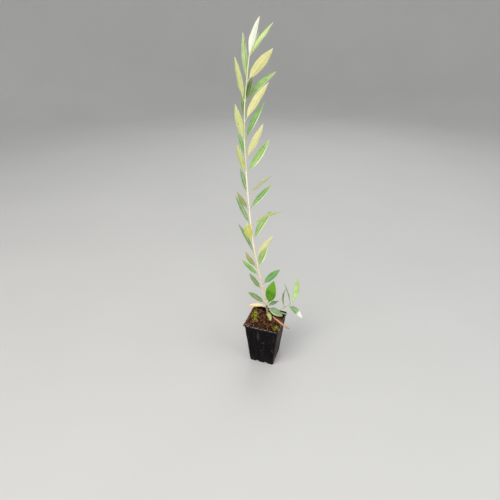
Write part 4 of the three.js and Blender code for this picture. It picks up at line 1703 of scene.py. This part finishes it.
@dataclass
class Compost:
    """The peat compost in the pot, with its crumbs, fibres, chips, grit and moss.

    Attributes:
        pot: The pot that it fills.
        foot: Where the stem stands.
        inset: How far its side stays from the pot's wall.
        cells: How many cells the top has each way.
        bumps: The height of its large lumps.
        moss: The place and radius of each tuft of moss.
        moss_density: Its shoots for each square of the radius.
        crumb_count, red_count, fibre_count: How many crumbs, flat reddish crumbs and fibres it has.
        chip_count: How many bark chips lie at the right.
        grit_count, front_grit_count: How many grains of grit lie all over and at the left front.
        lip_count, spill_count: How many crumbs lie on the pot's lip and over its left side.
        chance: Where the chance values come from.
    """

    pot: Pot
    foot: tuple[float, float]
    inset: float = 0.9
    cells: int = 150
    bumps: float = 2.0
    moss: tuple[Triple, ...] = (
        (-25.0, 5.0, 8.0), (-21.5, -6.5, 6.0), (-27.5, 14.0, 5.0), (24.0, -14.5, 7.5),
        (25.0, -15.5, 5.5),
    )
    crumb_count: int = 1300
    red_count: int = 26
    chip_count: int = 16
    grit_count: int = 70
    front_grit_count: int = 24
    fibre_count: int = 620
    moss_density: float = 5.5
    lip_count: int = 230
    spill_count: int = 760
    chance: random.Random = field(default_factory=lambda: random.Random(7))

    def half(self, z: float) -> float:
        """Returns half the side of the compost's square at a height."""
        return self.pot.side_at(z) / 2 - self.pot.wall - self.inset

    def reach(self, angle: float, z: float) -> tuple[float, float]:
        """Works out how far the rounded square and the plain square reach.

        Args:
            angle: The direction in radians to the left of +X.
            z: The height.

        Returns:
            Both distances.
        """
        half = self.half(z)
        corner = self.pot.corner - self.pot.wall
        east, north = abs(cos(angle)), abs(sin(angle))
        square = half / max(east, north)
        inner = half - corner
        if min(east, north) * square <= inner:
            return square, square
        middle = inner * (east + north)
        return middle + sqrt(max(middle**2 - 2 * inner**2 + corner**2, 0.0)), square

    def top(self, x: float, y: float) -> float:
        """Works out how high the peat lies.

        Args:
            x, y: The place.

        Returns:
            The height of its top there.
        """
        lumps = self.bumps * relief((x, y, 3.0), 11.0, 5)
        crumbs = 1.3 * relief((x, y, 40.0), 3.2, 3)
        heap = 7.5 * smooth(-x, 8, 32) + 2.0 * smooth(-y, 8, 32)
        mound = 1.6 * exp(-((x - self.foot[0]) ** 2 + (y - self.foot[1]) ** 2) / 60)
        half = self.pot.side_at(COMPOST_TOP) / 2 - self.pot.wall
        sink = 1.6 * smooth(max(x, abs(y)), half - 9, half)
        back = 2.4 * smooth(y, 12, 34) * smooth(x, 0, 24)
        swell = sum(1.3 * exp(-((x - mx) ** 2 + (y - my) ** 2) / (size * size * 0.5))
                    for mx, my, size in self.moss)
        return COMPOST_TOP + lumps + crumbs + heap + mound + swell - sink - back + 0.2

    def scatter(self, margin: float = 1.0) -> tuple[float, float]:
        """Picks a chance place on the compost.

        Args:
            margin: How far from the compost's side it stays.

        Returns:
            The place.
        """
        half = self.half(COMPOST_TOP) - margin
        while True:
            x, y = self.chance.uniform(-half, half), self.chance.uniform(-half, half)
            if hypot(x, y) < self.reach(atan2(y, x), COMPOST_TOP)[0] - margin:
                return x, y

    def bed(self) -> None:
        """Builds the body of the peat with its uneven top, darker than the crumbs as painted shade in
        the gaps between them.
        """
        count = self.cells + 1
        half = self.half(COMPOST_TOP)
        points, marks = [], []
        for row in range(count):
            for column in range(count):
                x = half * (2 * column / self.cells - 1)
                y = half * (2 * row / self.cells - 1)
                rounded, square = self.reach(atan2(y, x), COMPOST_TOP)
                share = rounded / square
                x, y = x * share, y * share
                points.append((x, y, self.top(x, y)))
                # The bed's shade mark sits lower than the crumbs', so the peat between the crumbs is
                # darker: painted shade in the gaps, over soft chance patches.
                marks.append(marked(shade=0.25 + 0.6 * relief((x, y, 9.0), 4.0, 3)))
        cells = range(self.cells)
        corners = [row * count + column for row in cells for column in cells]
        faces = [(at, at + 1, at + count + 1, at + count) for at in corners]
        border = [*range(count), *range(count + self.cells, count * count, count),
                  *range(count * count - 2, self.cells * count - 1, -1),
                  *range((self.cells - 1) * count, 0, -count)]
        low = border
        for z in (COMPOST_TOP - 8, 60.0, 30.0, self.pot.floor + GAP):
            shrink = self.half(z) / half
            ring = []
            for index in border:
                ring.append(len(points))
                points.append((points[index][0] * shrink, points[index][1] * shrink, z))
                marks.append(marked(shade=0.4))
            for place, index in enumerate(low):
                after = (place + 1) % len(low)
                faces.append((low[after], index, ring[place], ring[after]))
            low = ring
        faces.append(tuple(reversed(low)))
        draft = Draft()
        draft.add(np.array(points), faces, 0, np.array(marks))
        draft.piece("peat_bed", [PEAT_DARK], "compost", ["compost"])

    def lump(self, draft: Draft, centre: Sequence[float], size: Sequence[float], coat: int,
             rough: float = 0.35) -> None:
        """Adds a small uneven lump.

        Args:
            draft: What it is added to.
            centre: Its centre.
            size: Its half sizes.
            coat: Its material index.
            rough: How uneven it is.
        """
        rows, sides = 4, 7
        turn = self.chance.uniform(0, pi)
        tilt = self.chance.uniform(-0.5, 0.5)
        shade = self.chance.random()
        rings = []
        for row in range(rows):
            lift = -cos(pi * (row + 0.5) / rows)
            wide = sin(pi * (row + 0.5) / rows)
            ring = []
            for side in range(sides):
                angle = 2 * pi * side / sides
                swell = 1 + self.chance.uniform(-rough, rough)
                x = cos(angle) * wide * size[0] * swell
                y = sin(angle) * wide * size[1] * swell
                z = lift * size[2] + tilt * x
                ring.append((centre[0] + x * cos(turn) - y * sin(turn),
                             centre[1] + x * sin(turn) + y * cos(turn), centre[2] + z))
            rings.append(ring)
        marks = np.zeros((rows, sides, len(Mark)))
        marks[:, :, Mark.SHADE] = shade
        draft.loft(np.array(rings), coat, marks)

    def crumbs(self) -> None:
        """Strews peat crumbs, bark chips and pale grit over the bed."""
        draft = Draft()
        between = self.chance.uniform
        dark, red, chip, grit = range(4)
        for _ in range(self.crumb_count):
            x, y = self.scatter()
            size = between(0.35, 1.55) ** 1.3
            shape = [size * between(0.6, 1.3) for _ in range(3)]
            tone = relief((x, y, 60.0), 4.0, 2) + self.chance.gauss(0, 0.14)
            limit = 0.12 + 0.34 * smooth(-y, 6, 24) - 0.3 * smooth(x, 16, 28)
            coat = red if tone > limit else dark
            self.lump(draft, (x, y, self.top(x, y) + 0.25 * size), shape, coat)
        for _ in range(self.red_count):
            x, y = self.scatter(3)
            shape = (between(1.2, 2.8), between(0.7, 1.4), 0.4)
            self.lump(draft, (x, y, self.top(x, y) + 0.4), shape, red)
        for _ in range(self.chip_count):
            angle = between(0, 2 * pi)
            far = 6 * sqrt(self.chance.random())
            x, y = 28.5 + 0.4 * far * cos(angle), 11 + far * sin(angle)
            shape = (between(1.4, 3.0), between(0.8, 1.6), 0.5)
            self.lump(draft, (x, y, self.top(x, y) + 0.5), shape, chip)
        for _ in range(self.grit_count):
            x, y = self.scatter()
            size = between(0.25, 0.8)
            shape = (size, size, size * 0.8)
            self.lump(draft, (x, y, self.top(x, y) + 0.3), shape, grit, 0.25)
        for _ in range(self.front_grit_count):
            x, y = between(-31, -6), between(-32, -23)
            size = between(0.4, 0.9)
            shape = (size, size, size * 0.7)
            self.lump(draft, (x, y, self.top(x, y) + 0.6), shape, grit, 0.3)
        draft.piece("peat_crumbs", (PEAT_DARK, PEAT_RED, BARK_CHIP, GRIT), "compost", flat=True)

    def fibres(self) -> None:
        """Strews peat fibres and fine roots over the bed."""
        draft = Draft()
        between = self.chance.uniform
        for _ in range(self.fibre_count):
            x, y = self.scatter(2)
            heading, length, curve = between(0, 2 * pi), between(3, 12), between(-0.5, 0.5)
            hop, radius = between(0.1, 1.1), between(0.07, 0.17)
            centres = []
            for share in np.linspace(0, 1, 7):
                limit = self.reach(atan2(y, x), COMPOST_TOP)[0] - 0.6
                if hypot(x, y) > limit:
                    x, y = x * limit / hypot(x, y), y * limit / hypot(x, y)
                z = self.top(x, y) + 0.25 + hop * sin(pi * share)
                centres.append((x, y, z))
                x += cos(heading) * length / 6
                y += sin(heading) * length / 6
                heading += curve + between(-0.35, 0.35)
            if dist(centres[0], centres[-1]) < 1.0:
                continue
            widths = [radius * k for k in (0.5, 0.9, 1, 1, 1, 0.8, 0.4)]
            rings, marks = tube(np.array(centres), widths, 5)
            marks[:, :, Mark.SHADE] = self.chance.random()
            draft.loft(rings, self.chance.choice((0, 0, 1)), marks)
        draft.piece("peat_fibres", (PEAT_FIBRE, PEAT_RED), "compost")

    def moss_tufts(self) -> None:
        """Grows the tufts of moss: short stems, each with a spiral of pointed leaflets."""
        draft = Draft()
        between = self.chance.uniform
        for mx, my, size in self.moss:
            for _ in range(int(size * size * self.moss_density)):
                angle = between(0, 2 * pi)
                far = size * sqrt(self.chance.random())
                x, y = mx + far * cos(angle), my + far * sin(angle)
                if hypot(x, y) > self.reach(atan2(y, x), COMPOST_TOP)[0] - 1:
                    continue
                tall = between(0.9, 2.4) * (1.2 - 0.6 * far / size)
                lean = np.array((between(-0.4, 0.4), between(-0.4, 0.4), 1.0))
                self.shoot(draft, np.array((x, y, self.top(x, y) - 0.2)), unit(lean), tall)
        draft.piece("moss_tufts", [MOSS], "compost", flat=True)

    def shoot(self, draft: Draft, foot: Array, lean: Array, tall: float) -> None:
        """Adds one moss shoot: a spiral of closed, pointed leaflets, painted darker towards its foot
        as shade.

        Args:
            draft: What it is added to.
            foot: Where it stands.
            lean: The direction that it grows in.
            tall: Its height.
        """
        side = unit(np.cross(lean, (1.0, 0.2, 0.0)))
        shade = self.chance.random()
        leaflets = 9
        for step in range(leaflets):
            share = (step + 1) / leaflets
            away = turned(side, lean, 2.4 * step)
            start = foot + lean * tall * share * 0.9
            length = (0.85 - 0.35 * share) * self.chance.uniform(0.8, 1.2)
            tip = start + (away * 0.8 + lean * (0.35 + 0.5 * share)) * length
            cross = np.cross(away, lean) * 0.13
            thick = lean * 0.09
            middle = (start + tip) / 2
            points = np.array((start, middle + cross, tip, middle - cross, middle + thick))
            faces = ((0, 1, 4), (1, 2, 4), (2, 3, 4), (3, 0, 4), (0, 3, 2, 1))
            marks = np.zeros((len(points), len(Mark)))
            # Leaflets higher up the shoot are lighter and lower ones darker: painted shade low in the
            # tuft, where the leaflets shade each other.
            marks[:, Mark.SHADE] = 0.4 * shade + 0.6 * share
            draft.add(points, faces, 0, marks)

    def rim_dirt(self) -> None:
        """Lays crumbs of dirt along the pot's lip, and peat that has spilt over its left side."""
        draft = Draft()
        between, pick = self.chance.uniform, self.chance.choice
        half, top = self.pot.rim_side / 2, self.pot.height
        fibre, grit, dark, red = range(4)
        for _ in range(self.lip_count):
            along = between(-half + 4, half - 4)
            across = half - between(0.5, 1.9)
            side = pick((0, 0, 0, 1, 1, 2, 3))
            x, y = ((along, -across), (across, along), (along, across), (-across, along))[side]
            size = between(0.25, 0.6) if side < 2 else between(0.15, 0.4)
            shape = (size, size * 0.8, size * 0.6)
            self.lump(draft, (x, y, top + 0.1 * size), shape, pick((fibre, grit, grit)))
        for spill in range(self.spill_count):
            near = spill % 3 == 0
            x = self.chance.gauss(2.0 - half, 1.8)
            y = self.chance.gauss(6 - half, 3.0) if near else between(3 - half, half - 4)
            pile = (2.8 if near else 1.5) * bell(x + half - 2, 2.2)
            size = between(0.4, 1.1)
            drop = 2.2 * smooth(-half - x, -0.8, 1.5)
            x = max(x, -half - (1.6 if near else 0.9))
            z = top - drop + between(0.0, pile)
            coat = pick((fibre, dark, dark, red, red))
            self.lump(draft, (x, max(y, 1 - half), z), (size, size * 0.8, size * 0.7), coat)
        draft.piece("rim_dirt", (PEAT_FIBRE, GRIT, PEAT_DARK, PEAT_RED), "compost", flat=True)

    def build(self) -> None:
        """Builds the bed and all that lies and grows on it."""
        self.bed()
        self.crumbs()
        self.fibres()
        self.moss_tufts()
        self.rim_dirt()


@dataclass
class DryTwig:
    """The bare dry twig that lies on the compost and over the right rim, split at its end.

    Attributes:
        pot: The pot that it lies on.
        start, end: Where it starts, inside the pot, and ends, outside it.
        start_radius, end_radius: Its radius at the start and at the end.
        swell: How much thicker it is made.
        split: The share of its length where it splits in two.
        overlap: How far a prong reaches into the whole part, as a share of the length.
    """

    pot: Pot
    start: tuple[float, float] = (9.0, 18.0)
    end: tuple[float, float] = (53.0, -26.0)
    start_radius: float = 1.6
    end_radius: float = 2.1
    swell: float = 1.12
    split: float = 0.74
    overlap: float = 0.04

    def build(self) -> None:
        """Builds the twig and its two prongs."""
        first = np.array((*self.start, COMPOST_TOP + GAP + self.start_radius))
        rim = self.pot.rim_side / 2 - self.pot.lip_reach - self.pot.wall
        share = (rim - first[0]) / (self.end[0] - first[0])
        rim_z = self.pot.height + 2 * GAP + self.end_radius
        last = np.array((*self.end, first[2] + (rim_z - first[2]) / share))
        side = unit(np.cross(last - first, UP))
        over = np.cross(side, unit(last - first))
        draft = Draft()
        fork = self.split - self.overlap
        parts = ((0.0, self.split + 0.05, 0.0, 1.0, 44), (fork, 0.97, 0.55, 0.66, 20),
                 (fork, 1.0, -0.5, 0.74, 22))
        for low, high, spread, thick, rings in parts:
            shares = np.linspace(low, high, rings)
            centres, radii = [], []
            for value in shares:
                past = max(value - self.split + self.overlap, 0.0) / (1 + self.overlap - self.split)
                wander = 0.5 * relief((value * 9, spread, 1.0), 1.0, 2)
                centre = first + (last - first) * value + side * (spread * (0.8 + 3 * past) + wander)
                lift = 0.25 * relief((value * 7, 5.0, spread), 1.0, 2)
                centres.append(centre + over * lift)
                radius = self.start_radius + (self.end_radius - self.start_radius) * value
                ends = 1 - 0.55 * past**2 if spread else smooth(value, 0, 0.03) * 0.6 + 0.4
                radii.append(radius * thick * ends * self.swell)
            body, marks = tube(np.array(centres), radii, 12, side)
            for row in body:
                middle = row.mean(axis=0)
                for index, point in enumerate(row):
                    away = point - middle
                    flat = 1 - 0.18 * abs(unit(away) @ over)
                    row[index] = middle + away * flat * (1 + 0.16 * relief(point, 1.1, 3))
            marks[:, :, Mark.ALONG] = shares[:, None] * (1.0 if spread else 0.8)
            draft.loft(body, 0, marks)
        draft.piece("dry_twig_split", [DRY_TWIG_WOOD], "dry_twig", ["dry_twig"])


# Studio


@dataclass(frozen=True)
class StudioFinish(Finish):
    """The plain pale floor."""

    def lay_out(self, board: Board, shader: Node) -> Layout:
        """Lays out the haze."""
        haze = board.clouds(board.place(), 3.0)
        colour = board.mix(haze, (214, 213, 210), (222, 221, 218))
        return colour, board.spread(haze, 0.0, 1.0, 0.85, 0.95), haze


@dataclass(frozen=True)
class Lamp:
    """A soft square lamp that looks at the plant.

    Attributes:
        name: Its name.
        place: Where it hangs, in metres: right, back and up as seen from the front.
        size: Its side in metres.
        power: Its power in watts.
        tint: Its colour.
    """

    name: str
    place: Triple
    size: float
    power: float
    tint: Colour = (1.0, 1.0, 1.0)

    def hang(self) -> None:
        """Hangs the lamp and turns it to the middle of the plant."""
        light = bpy.data.lights.new(self.name, "AREA")
        light.shape = "SQUARE"
        light.size, light.energy, light.color = self.size, self.power, self.tint
        right, back, up = self.place
        made = placed(self.name, light)
        made.location = Vector(TO_RIGHT * right + TO_BACK * back + UP * up)
        aim = Vector((0.0, 0.0, 0.3)) - made.location
        made.rotation_euler = aim.to_track_quat("-Z", "Y").to_euler()


LAMPS = (
    Lamp("lamp_key", (-1.0, -1.1, 2.0), 1.4, 28.0, (1.0, 0.98, 0.94)),
    Lamp("lamp_fill", (1.6, -0.9, 1.1), 1.6, 11.0, (0.94, 0.97, 1.0)),
    Lamp("lamp_front", (0.2, -2.2, 0.82), 1.0, 17.0, (1.0, 1.0, 0.98)),
    Lamp("lamp_back", (0.4, 1.7, 1.8), 1.5, 11.0),
)


@dataclass
class Studio:
    """The floor, the light and the camera.

    Attributes:
        distance, left, height: How far the camera is before, left of and above the origin.
        pitch: How far it looks down.
        focal: Its focal length in picture widths of 500.
        floor_radius, cove: Where the floor starts to curve up, and the radius of that curve.
    """

    distance: float = 632.0
    left: float = 32.7
    height: float = 627.0
    pitch: float = 30.0
    focal: float = 394.0
    floor_radius: float = 2600.0
    cove: float = 1400.0

    def floor(self) -> None:
        """Lays the round floor, whose edge curves up like a bowl."""
        sides = 96
        profile = [(reach, 0.0) for reach in np.linspace(self.floor_radius / 6, self.floor_radius, 6)]
        for turn in np.linspace(0.15, pi / 2, 10):
            profile.append((self.floor_radius + self.cove * sin(turn), self.cove * (1 - cos(turn))))
        points = [(0.0, 0.0, 0.0)]
        for reach, z in profile:
            points += [(reach * cos(t), reach * sin(t), z) for t in round_turns(sides)]
        faces = [(0, 1 + k, 1 + (k + 1) % sides) for k in range(sides)]
        for ring in range(len(profile) - 1):
            low, high = 1 + ring * sides, 1 + (ring + 1) * sides
            faces += [(low + k, high + k, high + (k + 1) % sides, low + (k + 1) % sides)
                      for k in range(sides)]
        draft = Draft()
        draft.add(np.array(points), faces)
        mesh = draft.mesh("studio_floor")
        mesh.polygons.foreach_set("use_smooth", [True] * len(mesh.polygons))
        mesh.materials.append(StudioFinish("studio_pale", roughness=0.9, bump=0.01).material())
        placed("studio_floor", mesh)

    def light(self) -> None:
        """Sets soft light from above, from both sides and from behind."""
        for lamp in LAMPS:
            lamp.hang()
        world = bpy.data.worlds.new("studio_air")
        world.use_nodes = True
        air = world.node_tree.nodes["Background"]
        air.inputs["Color"].default_value = (0.94, 0.96, 1.0, 1.0)
        air.inputs["Strength"].default_value = 0.34
        bpy.context.scene.world = world
        bpy.context.scene.view_settings.view_transform = "Standard"

    def camera(self) -> None:
        """Sets the camera at the photograph's viewing angle."""
        tilt = radians(self.pitch)
        ahead = TO_BACK * cos(tilt) - UP * sin(tilt)
        above = TO_BACK * sin(tilt) + UP * cos(tilt)
        where = (-TO_RIGHT * self.left - TO_BACK * self.distance + UP * self.height) * MM
        turn = Matrix((TO_RIGHT, above, -ahead)).transposed()
        lens = bpy.data.cameras.new("photo_camera")
        lens.sensor_fit, lens.sensor_width = "HORIZONTAL", 36.0
        lens.lens = self.focal / 500 * lens.sensor_width
        lens.clip_start, lens.clip_end = 0.01, 50.0
        made = placed("photo_camera", lens)
        made.matrix_world = Matrix.Translation(Vector(where)) @ turn.to_4x4()
        bpy.context.scene.camera = made

    def build(self) -> None:
        """Builds the studio."""
        self.floor()
        self.light()
        self.camera()


def main() -> None:
    """Builds the potted olive tree and its studio, piece by piece."""
    logging.basicConfig(level=logging.INFO, format="%(name)s: %(message)s")
    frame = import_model()
    log.info("the frame holds %d solids", len(frame["nodes"]))
    stem, form, pot = Stem(), BladeForm(), Pot()
    Studio().build()
    pot.build()
    Compost(pot, stem.foot).build()
    stem.build()
    foliage = Foliage(stem, form)
    foliage.pairs()
    foliage.tip()
    foliage.basal()
    foliage.dead()
    SideShoot(stem, form).build(foliage)
    DryTwig(pot).build()


if __name__ == "__main__":
    main()
